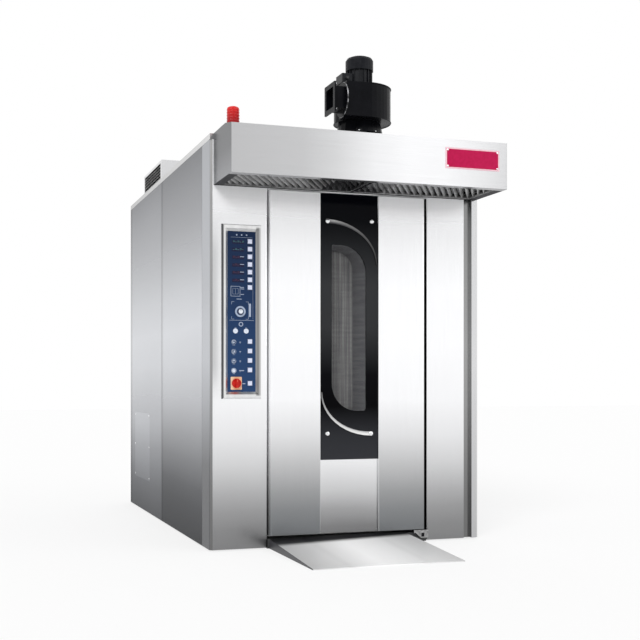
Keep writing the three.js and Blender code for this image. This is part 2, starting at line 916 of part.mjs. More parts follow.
function roofMotorBox() {
  const x = [left + boxInset, left + boxInset + boxWidth];
  const y = [fanY - boxBeforeFan, fanY - boxBeforeFan + boxLength];
  const z = [height + touch, height + boxHeight];
  const windowY = grow(y, -louvreBorder);
  const windowBand = grow(z, -louvreBorder / 2);
  const pitch = span(windowBand) / louvreCount;
  const louvre = (at) =>
    outline([
      [x[0], at],
      [x[0], at + 2],
      [x[0] + 14, at + pitch * 0.8],
      [x[0] + 14, at + pitch * 0.8 - 2],
    ].reverse());
  // The louvres are outlined in X and Z and run along Y.
  const slats = range(louvreCount).map((i) =>
    facing(louvre(windowBand[0] + pitch * i), grow(windowY, 2)),
  );
  const shell = cut(
    block(x, y, z),
    block(grow(x, -boxSheet), grow(y, -boxSheet), [z[0] - 1, z[1] - boxSheet]),
    block([x[0] - 1, x[0] + boxSheet + 1], windowY, windowBand),
  );
  return join(shell, slats);
}

piece("roof_motor_box", roofMotorBox(), stainless);

// ---------------------------------------------------------------- hood

const hoodFront = front - hoodDepth;
const hoodX = [left + hoodInset, right - hoodInset];
const hoodOpening = {
  x: grow(hoodX, -hoodEndBorder),
  y: [hoodFront + hoodFrontBorder, front - hoodRearBorder],
};
const bridgeX = [middle(hoodOpening.x) - filterBridge / 2, middle(hoodOpening.x) + filterBridge / 2];

function hoodProfile(inset) {
  const back = inset ? front + 1 : front - touch;
  return outline([
    [back, hoodUnderside + inset],
    [back, height - inset],
    [front - hoodFlat - inset / 4, height - inset],
    [hoodFront + inset, hoodFrontTop - inset],
    [hoodFront + inset, hoodUnderside + inset],
  ].reverse());
}

function hoodShell() {
  const z = [hoodUnderside - 1, hoodUnderside + hoodSheet + 1];
  return cut(
    across(hoodProfile(0), hoodX),
    across(hoodProfile(hoodSheet), grow(hoodX, -hoodSheet)),
    block([hoodOpening.x[0], bridgeX[0]], hoodOpening.y, z),
    block([bridgeX[1], hoodOpening.x[1]], hoodOpening.y, z),
    rod(inletRadius, [height - hoodSheet - 1, height + 1], blowerX, blowerY, 32),
  );
}

// A grease filter: a frame of folded sheet with leaning slats that cross it at a slant.
function hoodFilter(x) {
  const low = hoodUnderside + hoodSheet + touch;
  const z = [low, low + filterHeight];
  const y = grow(hoodOpening.y, filterLap);
  const inner = { x: grow(x, -filterFrame), y: grow(y, -filterFrame) };
  const turn = (slatTurn * Math.PI) / 180;
  const length = (span(y) + slatWidth) / Math.cos(turn);
  const lean = outline([
    [0, z[0] + 2],
    [slatThickness, z[0] + 2],
    [slatWidth, z[1] - 4],
    [slatWidth - slatThickness, z[1] - 4],
  ]);
  const slat = facing(lean, [-length / 2, length / 2]).rotate([0, 0, -slatTurn]);
  const reach = span(inner.x) + span(y) * Math.tan(turn);
  const count = Math.floor(reach / slatPitch);
  const slats = range(count).map((i) =>
    slat.translate([middle(x) + slatPitch * (i - count / 2), middle(y), 0]),
  );
  const field = block(grow(inner.x, 1), grow(inner.y, 1), z);
  return join(cut(block(x, y, z), block(inner.x, inner.y, grow(z, 1))), join(slats).intersect(field));
}

piece("hood_shell", hoodShell(), stainless);
piece("hood_filter_left", hoodFilter([hoodOpening.x[0] - filterLap, middle(bridgeX) - touch]), brightStainless);
piece("hood_filter_right", hoodFilter([middle(bridgeX) + touch, hoodOpening.x[1] + filterLap]), brightStainless);

// ---------------------------------------------------------------- beacon

function beaconLens() {
  const low = beaconFootHeight + touch;
  const pitch = (beaconHeight - 16) / beaconRibs;
  const ribs = range(beaconRibs).flatMap((i) => [
    [beaconRadius, low + pitch * i],
    [beaconRadius - 1.6, low + pitch * (i + 0.5)],
  ]);
  return revolved([
    [0, low],
    ...ribs,
    [beaconRadius, low + beaconHeight - 16],
    [beaconRadius - 3, low + beaconHeight - 5],
    [beaconRadius - 10, low + beaconHeight],
    [0, low + beaconHeight],
    [0, low],
  ], 16);
}

const beacon = group(left + beaconFromLeft, hoodFront + beaconFromFront, height + touch);
piece("beacon_base", revolved([
  [0, 0],
  [beaconFoot, 0],
  [beaconFoot, beaconFootHeight - 3],
  [beaconFoot - 3, beaconFootHeight],
  [0, beaconFootHeight],
  [0, 0],
], 16), blackPlastic, beacon);
piece("beacon_lens", beaconLens(), redLens, beacon);

// ---------------------------------------------------------------- blower

const scrollLow = collarHeight;
const scrollTop = collarHeight + scrollHeight;

// The scroll widens clockwise from its cut-off on the left to an outlet that leaves to the left.
function scrollOutline(offset) {
  const steps = 30;
  const spiral = range(steps + 1).map((i) => {
    const share = i / steps;
    const radius = scrollStart + (scrollEnd - scrollStart) * share + offset;
    return polar(radius, Math.PI * (1 - 1.5 * share));
  });
  const end = outletEnd - scrollWall + offset;
  return outline([
    ...spiral,
    [-end, -scrollEnd - offset],
    [-end, -scrollEnd + outletWidth + offset],
    [-scrollStart + 12, -scrollEnd + outletWidth + offset],
  ].reverse());
}

function blowerHousing() {
  const axisY = -scrollEnd + outletWidth / 2;
  const axisZ = middle([scrollLow, scrollTop]);
  const collar = revolved([
    [inletRadius, touch],
    [collarRadius, touch],
    [collarTop, scrollLow + 1],
    [inletRadius, scrollLow + 1],
    [inletRadius, touch],
  ]);
  const square = (half) => [
    [axisY - half, axisY + half],
    [axisZ - half, axisZ + half],
  ];
  const end = -outletReach - flangeThickness;
  const spout = block([end + 1, 1 - outletEnd], ...square(outletWidth / 2 + scrollWall));
  const flange = across(rounded(...square(outletFlange / 2), 6), [end, -outletReach]);
  const disc = solid(
    new THREE.CylinderGeometry(outletDisc, outletDisc, discThickness, 32)
      .rotateZ(Math.PI / 2)
      .translate(1 - outletEnd - discThickness / 2, axisY, axisZ),
  );
  const inner = [scrollLow + scrollWall, scrollTop - scrollWall];
  const mouth = block([end - 1, 1 + scrollWall - outletEnd], ...square(outletWidth / 2));
  return cut(
    join(upright(scrollOutline(scrollWall), [scrollLow, scrollTop]), collar, spout, flange, disc),
    upright(scrollOutline(0), inner),
    mouth,
    rod(inletRadius, [0, scrollLow + scrollWall + 1], 0, 0, 32),
    rod(wheelHub + 14, [scrollTop - scrollWall - 1, scrollTop + 1]),
  );
}

// A squirrel-cage wheel: a back plate, a ring and short blades curved forward.
function blowerImpeller() {
  const low = scrollLow + scrollWall + 8;
  const top = low + wheelHeight;
  const ring = revolved([
    [wheelRadius - bladeDepth, low],
    [wheelRadius, low],
    [wheelRadius, low + ringThickness],
    [wheelRadius - bladeDepth, low + ringThickness],
    [wheelRadius - bladeDepth, low],
  ]);
  const plate = revolved([
    [0, top - 40],
    [wheelHub, top - 40],
    [wheelHub, top - ringThickness],
    [wheelRadius, top - ringThickness],
    [wheelRadius, top],
    [0, top],
    [0, top - 40],
  ]);
  const vane = blade(wheelRadius - bladeDepth + 1, wheelRadius - 1, -0.14, bladeThickness, [low + 1, top - 1], 2);
  const shaft = rod(blowerShaft, [top - 2, scrollTop + 20]);
  return join(ring, plate, turned(vane, wheelBlades), shaft);
}

const motorTop = scrollTop + touch + blowerMotorHeight;

function blowerMotorPiece() {
  const low = scrollTop + touch;
  const body = revolved([
    [0, low],
    [motorFlange, low],
    [motorFlange, low + 8],
    [blowerMotor, low + 12],
    [blowerMotor, motorTop],
    [0, motorTop],
    [0, low],
  ]);
  const fin = block([blowerMotor - 2, blowerMotor + finReach], [-1.5, 1.5], [low + 14, motorTop - 6]);
  const [boxX, boxY, boxZ] = terminalBox;
  const box = upright(
    rounded([-blowerMotor - boxX + 4, -blowerMotor + 10], [-boxY / 2, boxY / 2], 5),
    [low + 26, low + 26 + boxZ],
  );
  const socket = rod(blowerShaft + running, [low - 1, scrollTop + 20 + running]);
  return cut(join(body, turned(fin, finCount), box), socket);
}

// The cowl over the cooling fan: a short drum with a domed top and a skirt over the motor.
function blowerCowl() {
  const low = motorTop - 4;
  const top = low + cowlHeight;
  const bore = blowerMotor + finReach + running + touch;
  return revolved([
    [0, motorTop + touch],
    [bore, motorTop + touch],
    [bore, low - 14],
    [cowlRadius, low - 14],
    [cowlRadius, top - 22],
    [cowlRadius - 8, top - 9],
    [cowlRadius - 28, top - 1],
    [0, top],
    [0, motorTop + touch],
  ]);
}

const blower = group(blowerX, blowerY, height);
piece("blower_housing", blowerHousing(), blackPaint, blower);
piece("blower_impeller", blowerImpeller(), galvanised, blower);
piece("blower_motor", blowerMotorPiece(), blackPaint, blower);
piece("blower_cowl", blowerCowl(), blackPaint, blower);

// ---------------------------------------------------------------- control panel

const faceFront = -faceBehind;
const controls = group(panelX, front, panelCentreZ);

function controlBezel() {
  const back = { x: [-bezelWidth / 2, bezelWidth / 2], z: [-bezelHeight / 2, bezelHeight / 2] };
  const view = { x: grow(faceBand.x, -faceLap), z: grow(faceBand.z, -faceLap) };
  const y = [-bezelProud, -touch];
  const outer = tapered(grow(back.x, -bezelSplay), grow(back.z, -bezelSplay), back.x, back.z, y);
  const opening = tapered(grow(view.x, bezelSlope), grow(view.z, bezelSlope), view.x, view.z, [
    -bezelProud - 0.01,
    -faceBehind + 0.01,
  ]);
  const rebate = block(grow(faceBand.x, touch), [-faceBehind, 1], grow(faceBand.z, touch));
  return cut(outer, opening, rebate);
}

const keyPlaces = keyRows.map((z) => [keyX, z]);
const faceBack = faceFront + touch + faceThickness;

function controlFace() {
  const y = [faceFront + touch, faceBack];
  const half = keySize / 2 + 0.5;
  const holes = keyPlaces.map(([x, z]) =>
    block([x - half, x + half], [y[0] - 1, y[1] + 1], [z - half, z + half]),
  );
  const [plateX, plateZ] = switchPlate;
  const plate = facing(
    rounded(
      [switchPlace[0] - plateX / 2, switchPlace[0] + plateX / 2],
      [switchPlace[1] - plateZ / 2, switchPlace[1] + plateZ / 2],
      4,
    ),
    [y[0] - plateProud, y[0] + 1],
    2,
  );
  return cut(
    join(block(faceBand.x, y, faceBand.z), plate),
    holes,
    [dialPlace, switchPlace].map(([x, z]) =>
      spindle(spindleRadius + 0.5, [y[0] - plateProud - 1, y[1] + 1], x, z),
    ),
  );
}

// A square key: a bevelled cap, a stem through the panel and a flange that keeps it in.
function key() {
  const half = keySize / 2;
  const capFront = faceFront + touch - keyProud;
  const body = [-half, half];
  const flange = grow(body, keyFlange);
  return join(
    tapered(grow(body, -keyBevel), grow(body, -keyBevel), body, body, [capFront, capFront + keyBevel]),
    block(body, [capFront + keyBevel, faceBack + 4], body),
    block(flange, [faceBack + touch, faceBack + 2], flange),
  );
}

function timerDial() {
  const base = faceFront;
  return join(
    spindle(dialRadius, [base - 4, base], 0, 0, 24),
    spindle(dialKnob, [base - dialProud, base - 3]),
    spindle(spindleRadius, [base - 1, base + spindleLength], 0, 0, 12),
  );
}

function mainSwitch() {
  const base = faceFront - plateProud;
  const grip = block(
    [-switchGrip / 2, switchGrip / 2],
    [base - switchProud, base - 9],
    [-switchRadius + 1, switchRadius - 1],
  );
  return join(
    spindle(switchRadius, [base - 10, base], 0, 0, 24),
    grip,
    spindle(spindleRadius, [base - 1, base + spindleLength], 0, 0, 12),
  );
}

piece("control_bezel", controlBezel(), brightStainless, controls);
piece("control_face", controlFace(), bluePanel, controls);
keyPlaces.forEach(([x, z], i) => {
  piece("key_" + String(i + 1).padStart(2, "0"), key(), whiteKey, controls).position.set(x, 0, z);
});
piece("timer_dial", timerDial(), whiteKey, controls).position.set(dialPlace[0], 0, dialPlace[1]);
piece("main_switch", mainSwitch(), redPlastic, controls).position.set(switchPlace[0], 0, switchPlace[1]);

// ---------------------------------------------------------------- door

// The door's pieces are placed from its lower left corner, on the front plane of the cabinet.
const door = group(doorLeft, front, doorBottom);

const windowShape = (by) =>
  rectangle(
    grow([windowX - windowWidth / 2, windowX + windowWidth / 2], by),
    grow([windowFromBottom, windowFromBottom + windowHeight], by),
    [windowLargeRadius + by, windowSmallRadius + by, windowLargeRadius + by, windowSmallRadius + by],
  );

const pivotBores = [
  rod(pivotRadius + running, [-1, pivotLength + 3], pivotX, pivotFromFront),
  rod(pivotRadius + running, [doorHeight - pivotLength - 3, doorHeight + 1], pivotX, pivotFromFront),
];

function doorPanel() {
  const leaf = block([0, doorWidth], [coverSheet + touch, doorThickness], [0, doorHeight]);
  const lower = block([centreLeft, centreRight], [3, coverSheet + 1], [0, glassBottom - touch]);
  const glassSeat = facing(windowShape(innerGlassLap + touch), [doorThickness - 8, doorThickness + 1]);
  return cut(
    join(leaf, lower),
    facing(windowShape(0), [coverSheet - 1, doorThickness + 1]),
    glassSeat,
    pivotBores,
  );
}

function doorCover(x, radii) {
  const shape = rectangle(x, [-coverProud, coverSheet], radii);
  return cut(upright(shape, [0, doorHeight]), pivotBores);
}

function doorGlass() {
  return block(
    [centreLeft, centreRight],
    [glassInset, glassInset + glassThickness],
    [glassBottom, doorHeight],
  );
}

function doorGasket() {
  const x = [gasketInset, doorWidth - gasketInset];
  const z = [gasketInset - 8, doorHeight - gasketInset + 8];
  const y = [doorThickness + touch, doorThickness + touch + gasketHeight];
  const inner = facing(
    rounded(grow(x, -gasketWidth), grow(z, -gasketWidth), 10),
    grow(y, 1),
    3,
  );
  return cut(facing(rounded(x, z, 24), y, 3), inner);
}

// A crescent that starts in a round cap and thins to a tip along a quarter of an ellipse.
function glassTrim(sign) {
  const steps = 12;
  const centre = [windowX + sign * trimStart[0], windowZ + sign * (trimStart[1] - trimDown)];
  const edge = (side) =>
    range(steps + 1).map((i) => {
      const share = i / steps;
      const angle = (Math.PI / 2) * (1 - share);
      const half = (side * (trimWidth + (trimTip - trimWidth) * share)) / 2;
      return [
        centre[0] + sign * (trimAcross + half) * Math.cos(angle),
        centre[1] + sign * (trimDown + half) * Math.sin(angle),
      ];
    });
  const start = [windowX + sign * trimStart[0], windowZ + sign * trimStart[1]];
  const back = glassInset - touch;
  return join(
    facing(outline([...edge(-1), ...edge(1).reverse()]), [-trimProud, back]),
    spindle(capRadius, [-capProud, back], start[0], start[1]),
  );
}

piece("door_panel", doorPanel(), stainless, door);
piece("door_cover_left", doorCover([0, leftCover], [coverRadius, 3, 0, 0]), stainless, door);
piece("door_cover_right", doorCover([doorWidth - rightCover, doorWidth], [3, coverRadius, 0, 0]), stainless, door);
piece("door_glass", doorGlass(), blackGlass, door);
piece("door_inner_glass", facing(windowShape(innerGlassLap), [doorThickness - 7, doorThickness - 1]), clearGlass, door);
piece("door_gasket", doorGasket(), silicone, door);
piece("glass_trim_upper", glassTrim(1), brightStainless, door);
piece("glass_trim_lower", glassTrim(-1), brightStainless, door);

// ---------------------------------------------------------------- ramp

// A loose ramp: a sloping plate between two tapered side flanges, hooked over the sill.
function ramp() {
  const rearY = front + seam - touch;
  const toeY = front - rampLength;
  const x = [doorLeft, doorRight - rampClear];
  const slope = (rampRear - rampNose) / rampLength;
  const wedge = outline([
    [rearY, 0],
    [rearY, rampRear],
    [toeY, rampNose],
    [toeY, 0],
  ]);
  const pocketToe = toeY + rampSheet / slope;
  const pocket = outline([
    [rearY + 1, -1],
    [rearY + 1, rampRear - rampSheet + slope],
    [pocketToe, rampNose],
    [pocketToe, -1],
  ]);
  const bay = (span(x) - rampFlange) / rampBays;
  const bays = range(rampBays).map((i) =>
    across(pocket, [x[0] + rampFlange + bay * i, x[0] + bay * (i + 1)]),
  );
  return cut(across(wedge, x), bays);
}

piece("ramp", ramp(), brightStainless);

export default oven;
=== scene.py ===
import math

import bmesh
import bpy
from mathutils import Matrix, Vector


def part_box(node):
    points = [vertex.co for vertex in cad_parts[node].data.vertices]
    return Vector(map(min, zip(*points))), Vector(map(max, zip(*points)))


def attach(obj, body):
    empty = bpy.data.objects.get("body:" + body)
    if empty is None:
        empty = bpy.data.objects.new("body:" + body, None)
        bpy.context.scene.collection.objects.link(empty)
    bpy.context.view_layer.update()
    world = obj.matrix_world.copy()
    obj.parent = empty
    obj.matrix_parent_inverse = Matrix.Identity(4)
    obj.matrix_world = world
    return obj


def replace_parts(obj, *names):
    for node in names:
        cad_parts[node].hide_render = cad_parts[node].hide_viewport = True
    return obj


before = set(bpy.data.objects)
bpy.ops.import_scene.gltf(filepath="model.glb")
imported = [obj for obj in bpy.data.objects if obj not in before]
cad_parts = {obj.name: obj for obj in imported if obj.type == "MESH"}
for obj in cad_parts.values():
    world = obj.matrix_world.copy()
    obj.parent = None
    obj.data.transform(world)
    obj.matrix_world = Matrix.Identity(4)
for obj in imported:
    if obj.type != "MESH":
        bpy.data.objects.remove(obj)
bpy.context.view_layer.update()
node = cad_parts


# ---------------------------------------------------------------- studio
# A white room with soft light. The camera stands to the left of the oven at the height of a
# low bench, level, and its film is shifted up and to the right.

scene = bpy.context.scene
scene.view_settings.view_transform = "Standard"

film = bpy.data.cameras.new("camera")
film.sensor_width = 36
film.lens = 60.36
film.shift_x = 0.0464
film.shift_y = 0.0989
camera = bpy.data.objects.new("camera", film)
camera.location = (-2.14, -6.7175, 0.885)
camera.rotation_euler = (math.radians(90), 0, math.radians(-18.12))
scene.collection.objects.link(camera)
scene.camera = camera


class Value:
    """What one node gives. Sums on it add nodes, as sums on a number give a number."""

    def __init__(self, graph, socket):
        self.graph = graph
        self.socket = socket

    def of(self, name):
        return Value(self.graph, self.socket.node.outputs[name])

    def __add__(self, other):
        return self.graph.math("ADD", self, other)

    def __radd__(self, other):
        return self.graph.math("ADD", other, self)

    def __sub__(self, other):
        return self.graph.math("SUBTRACT", self, other)

    def __rsub__(self, other):
        return self.graph.math("SUBTRACT", other, self)

    def __mul__(self, other):
        return self.graph.math("MULTIPLY", self, other)

    def __rmul__(self, other):
        return self.graph.math("MULTIPLY", other, self)

    def __truediv__(self, other):
        return self.graph.math("DIVIDE", self, other)

    def __abs__(self):
        return self.graph.math("ABSOLUTE", self)


class Graph:
    """A tree of nodes, for a material, the room or a repeating pattern."""

    def __init__(self, tree):
        self.tree = tree

    def node(self, kind, settings, *inputs, **named):
        made = self.tree.nodes.new(kind)
        for key, setting in settings.items():
            if key == "stops":
                self.fill_ramp(made.color_ramp.elements, setting)
            else:
                setattr(made, key, setting)
        for place, given in enumerate(inputs):
            self.feed(made.inputs[place], given)
        for name, given in named.items():
            self.feed(made.inputs[name.replace("_", " ")], given)
        first = next((out for out in made.outputs if out.enabled), None)
        return Value(self, first) if first else made

    def feed(self, socket, given):
        if given is None:
            return
        if isinstance(given, Value):
            self.tree.links.new(given.socket, socket)
        else:
            socket.default_value = given

    @staticmethod
    def fill_ramp(elements, stops):
        while len(elements) > 1:
            elements.remove(elements[-1])
        for place, (at, shade) in enumerate(stops):
            element = elements[0] if place == 0 else elements.new(at)
            element.position = at
            element.color = (shade, shade, shade, 1) if isinstance(shade, float) else (*shade, 1)

    def math(self, operation, *values):
        return self.node("ShaderNodeMath", {"operation": operation}, *values)

    def blend(self, share, first, second):
        """A colour between two others."""
        mixed = self.node("ShaderNodeMix", {"data_type": "RGBA"})
        for place, given in ((0, share), (6, first), (7, second)):
            if isinstance(given, tuple):
                given = (*given, 1)
            self.feed(mixed.socket.node.inputs[place], given)
        return Value(self, mixed.socket.node.outputs[2])

    def ease(self, value, low, high):
        """0 below low, 1 above high, and a smooth climb between."""
        return self.node("ShaderNodeMapRange", {"interpolation_type": "SMOOTHSTEP"}, value, low, high, 0.0, 1.0)

    def within(self, value, rise, fall):
        """1 between two soft edges, each given by where it starts and ends."""
        return self.ease(value, *rise) * (1 - self.ease(value, *fall))


def in_sight(graph):
    """1 for what the camera sees straight, in a gloss or through glass, and 0 for light."""
    ray = graph.node("ShaderNodeLightPath", {})
    straight = graph.math("MAXIMUM", ray.of("Is Camera Ray"), ray.of("Is Glossy Ray"))
    return graph.math("MAXIMUM", straight, ray.of("Is Transmission Ray"))


room = bpy.data.worlds.new("room")
room.use_nodes = True
scene.world = room
sky = Graph(room.node_tree)
backdrop = room.node_tree.nodes["Background"]
backdrop.inputs["Color"].default_value = (1, 1, 1, 1)
sky.feed(backdrop.inputs["Strength"], 0.62 + 0.38 * in_sight(sky))

for name, strength, spread, turn in (
    ("key", 1.35, 24, (52, 0, -38)),
    ("fill", 0.45, 50, (62, 0, 55)),
    ("rim", 0.30, 60, (40, 0, 170)),
):
    lamp = bpy.data.lights.new(name, "SUN")
    lamp.energy = strength
    lamp.angle = math.radians(spread)
    placed = bpy.data.objects.new(name, lamp)
    placed.rotation_euler = [math.radians(a) for a in turn]
    scene.collection.objects.link(placed)

bpy.ops.mesh.primitive_plane_add(size=60)
floor = bpy.context.object
floor.name = "floor"
paper = bpy.data.materials.new("paper")
paper.use_nodes = True
sheet = Graph(paper.node_tree)
surface = paper.node_tree.nodes["Principled BSDF"]
for name, setting in (("Base Color", (0.92, 0.92, 0.92, 1)), ("Roughness", 0.9), ("Specular IOR Level", 0.1)):
    surface.inputs[name].default_value = setting
white = sheet.node("ShaderNodeEmission", {}, Color=(1, 1, 1, 1), Strength=1.0)
lit = Value(sheet, surface.outputs["BSDF"])
shown = sheet.node("ShaderNodeMixShader", {}, 0.72 * in_sight(sheet), lit, white)
sheet.feed(paper.node_tree.nodes["Material Output"].inputs["Surface"], shown)
floor.data.materials.append(paper)


# ---------------------------------------------------------------- base and chain drive
# The base is welded and painted steel with a trough for the chain. The turntable and its gear
# motor are galvanised. The roller chain runs round two sprockets under the floor.

class Finish(Graph):
    """A material on the Principled shader, with places in metres on the oven's own axes."""

    def __init__(self, name, **fixed):
        self.material = bpy.data.materials.new(name)
        self.material.use_nodes = True
        super().__init__(self.material.node_tree)
        self.shader = self.tree.nodes["Principled BSDF"]
        for key, value in fixed.items():
            self.shader.inputs[key.replace("_", " ")].default_value = value
        self.place = self.node("ShaderNodeTexCoord", {}).of("Object")
        split = self.node("ShaderNodeSeparateXYZ", {}, self.place)
        self.x, self.y, self.z = split.of("X"), split.of("Y"), split.of("Z")

    def set(self, **varied):
        for key, value in varied.items():
            self.feed(self.shader.inputs[key.replace("_", " ")], value)

    def noise(self, scale, detail, stretch=(1, 1, 1)):
        """Noise between about 0.3 and 0.7, drawn out where stretch is small."""
        place = self.node("ShaderNodeVectorMath", {"operation": "MULTIPLY"}, self.place, stretch)
        return self.node("ShaderNodeTexNoise", {}, Vector=place, Scale=scale, Detail=detail)

    def bump(self, height, strength, distance):
        self.set(Normal=self.node("ShaderNodeBump", {}, Strength=strength, Distance=distance, Height=height))

    def shade(self, value, stops):
        """A colour that follows a value from 0 to 1 through the given stops."""
        return self.node("ShaderNodeValToRGB", {"stops": stops}, value)

    def past(self, axis, place, start, end):
        """0 before start and 1 after end, both counted from a place on an axis."""
        return self.ease(getattr(self, axis), place + start, place + end)

    def cover(self, share, colour):
        """Lays another colour over the one so far."""
        self.colour = self.blend(share, self.colour, colour)
        self.set(Base_Color=self.colour)

    def give(self, *pieces):
        for piece in pieces:
            shown = node[piece].data.materials
            shown.clear()
            shown.append(self.material)


def mottled(name, patch, dark, pale, rough, vary, fine=None, **fixed):
    """A finish that wanders between two colours. patch and fine give a noise's scale and detail,
    and the roughness follows the fine noise, or else the patches."""
    made = Finish(name, **fixed)
    made.patches = made.noise(*patch)
    made.fine = made.noise(*fine) if fine else made.patches
    made.colour = made.shade(made.patches, [(0.3, dark), (0.7, pale)])
    made.set(Base_Color=made.colour, Roughness=rough + vary * made.fine)
    return made


painted_steel = mottled("painted steel", (7.0, 4.0), (0.030, 0.032, 0.035), (0.060, 0.061, 0.062), 0.5, 0.3)
chips = painted_steel.ease(painted_steel.noise(90.0, 4.0), 0.62, 0.68)
painted_steel.cover(chips, (0.16, 0.15, 0.14))
painted_steel.set(Metallic=0.8 * chips)
painted_steel.bump(painted_steel.noise(240.0, 3.0), 0.25, 0.0006)
painted_steel.give("base_frame")

galvanised = Finish("galvanised steel")
crystals = galvanised.node("ShaderNodeTexVoronoi", {}, Vector=galvanised.place, Scale=55.0)
spangle = galvanised.node("ShaderNodeSeparateColor", {}, crystals.of("Color"))
scuff = galvanised.ease(galvanised.noise(14.0, 5.0), 0.5, 0.72)
galvanised.set(
    Base_Color=galvanised.blend(
        scuff,
        galvanised.shade(spangle, [(0.0, (0.40, 0.42, 0.44)), (1.0, (0.62, 0.64, 0.66))]),
        (0.47, 0.46, 0.44)),
    Roughness=0.30 + 0.16 * spangle + 0.16 * scuff,
    Metallic=0.95)
galvanised.bump(galvanised.noise(180.0, 2.0), 0.12, 0.0004)
galvanised.give("turntable", "turntable_drive")


def add_piece(name, data, body):
    """A piece with its own mesh and the body it rides on."""
    made = bpy.data.objects.new(name, data)
    scene.collection.objects.link(made)
    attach(made, body)
    return made


def mesh_piece(name, body, faces_of, finish):
    """A new piece from a function that fills a bmesh."""
    shape = bmesh.new()
    faces_of(shape)
    bmesh.ops.recalc_face_normals(shape, faces=shape.faces)
    data = bpy.data.meshes.new(name)
    shape.to_mesh(data)
    shape.free()
    data.materials.append(finish.material)
    return add_piece(name, data, body)


def add_box(shape, low, high, bevel=0.0):
    """A block between two corners, with its edges broken."""
    low, high = Vector(low), Vector(high)
    made = bmesh.ops.create_cube(shape, size=1, matrix=Matrix.Translation((low + high) / 2)
                                 @ Matrix.Diagonal((*(high - low), 1)))
    if bevel:
        edges = list({edge for corner in made["verts"] for edge in corner.link_edges})
        bmesh.ops.bevel(shape, geom=edges, offset=bevel, segments=2, profile=0.5, affect="EDGES")


def join_rows(shape, rows):
    """Faces between each closed row of points and the next."""
    for first, second in zip(rows, rows[1:]):
        for i in range(len(first)):
            k = (i + 1) % len(first)
            shape.faces.new((first[i], first[k], second[k], second[i]))


def close_ends(shape, rows):
    """A face on the first and on the last of the rows."""
    shape.faces.new(rows[0])
    shape.faces.new(list(reversed(rows[-1])))


AXIS_TURNS = {"Z": Matrix.Identity(4), "X": Matrix.Rotation(math.radians(90), 4, "Y"),
              "Y": Matrix.Rotation(math.radians(90), 4, "X")}


def add_lathed(shape, profile, at, axis="Z", sides=24):
    """A profile of radius and height revolved about an axis. It may end where it starts."""
    place = Matrix.Translation(at) @ AXIS_TURNS[axis]
    rings = []
    closed = profile[0] == profile[-1]
    for radius, height in profile[:-1] if closed else profile:
        if radius < 1e-6:
            rings.append([shape.verts.new(place @ Vector((0, 0, height)))])
        else:
            turns = (2 * math.pi * i / sides for i in range(sides))
            rings.append([shape.verts.new(place @ Vector((radius * math.cos(a), radius * math.sin(a), height)))
                          for a in turns])
    if closed:
        rings.append(rings[0])
    for lower, upper in zip(rings, rings[1:]):
        for i in range(sides):
            j = (i + 1) % sides
            if len(lower) == 1:
                shape.faces.new((lower[0], upper[i], upper[j]))
            elif len(upper) == 1:
                shape.faces.new((lower[i], lower[j], upper[0]))
            else:
                shape.faces.new((lower[i], lower[j], upper[j], upper[i]))


def hexagon_head(shape, at, radius, height, axis="Z"):
    """A bolt head with a washer under it, standing on the given point."""
    add_lathed(shape, [(0, 0), (radius * 1.35, 0), (radius * 1.35, height * 0.25), (0, height * 0.25)],
               at, axis, 16)
    lift = AXIS_TURNS[axis] @ Vector((0, 0, height * 0.2))
    add_lathed(shape, [(0, 0), (radius, 0), (radius, height * 0.75), (radius * 0.82, height * 0.9), (0, height * 0.9)],
               Vector(at) + lift, axis, 6)


def bolt_ring(shape, centre, radius, z, count, start, head, height):
    """Bolt heads on a level circle, the first of them at start degrees."""
    for i in range(count):
        turn = math.radians(360 / count * i + start)
        hexagon_head(shape, (centre.x + radius * math.cos(turn), centre.y + radius * math.sin(turn), z), head, height)


def turned_piece(name, body, finish, profile, places, axis="Z", sides=24):
    """A new piece of one turned shape, standing in each of the places."""
    def fill(shape):
        for at in places:
            add_lathed(shape, profile, at, axis, sides)
    mesh_piece(name, body, fill, finish)


class Repeat(Graph):
    """A tree of geometry nodes that sets copies of one shape on points."""

    def __init__(self, name, sizes):
        tree = bpy.data.node_groups.new(name, "GeometryNodeTree")
        super().__init__(tree)
        tree.interface.new_socket("Geometry", in_out="INPUT", socket_type="NodeSocketGeometry")
        tree.interface.new_socket("Geometry", in_out="OUTPUT", socket_type="NodeSocketGeometry")
        self.sizes = sizes
        for key, value in sizes.items():
            kind = "NodeSocketInt" if isinstance(value, int) else "NodeSocketFloat"
            tree.interface.new_socket(key, in_out="INPUT", socket_type=kind)
        self.given = tree.nodes.new("NodeGroupInput")
        self.result = tree.nodes.new("NodeGroupOutput")
        self.points = self.size("Geometry")

    def size(self, name):
        return Value(self, self.given.outputs[name])

    def finish(self, points, copy, finish, turn=None):
        """Sets the copies on the points and gives them their material."""
        placed = self.node("GeometryNodeInstanceOnPoints", {}, Points=points, Instance=copy, Rotation=turn)
        real = self.node("GeometryNodeRealizeInstances", {}, placed)
        coated = self.node("GeometryNodeSetMaterial", {}, Geometry=real, Material=finish.material)
        self.feed(self.result.inputs[0], coated)

    def make(self, name, points, body, slot):
        """Runs the tree on a mesh of points and keeps the result as a plain piece."""
        carrier = bpy.data.objects.new(name + " carrier", points)
        modifier = carrier.modifiers.new(name, "NODES")
        modifier.node_group = self.tree
        for item in self.tree.interface.items_tree:
            if item.in_out == "INPUT" and item.name in self.sizes:
                modifier[item.identifier] = self.sizes[item.name]
        scene.collection.objects.link(carrier)
        ready = carrier.evaluated_get(bpy.context.evaluated_depsgraph_get())
        data = bpy.data.meshes.new_from_object(ready)
        carrier.modifiers.remove(modifier)
        bpy.data.objects.remove(carrier)
        return add_piece(name, data, body)


def middle_of(piece):
    """The centre of a node's box."""
    low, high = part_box(piece)
    return (low + high) / 2


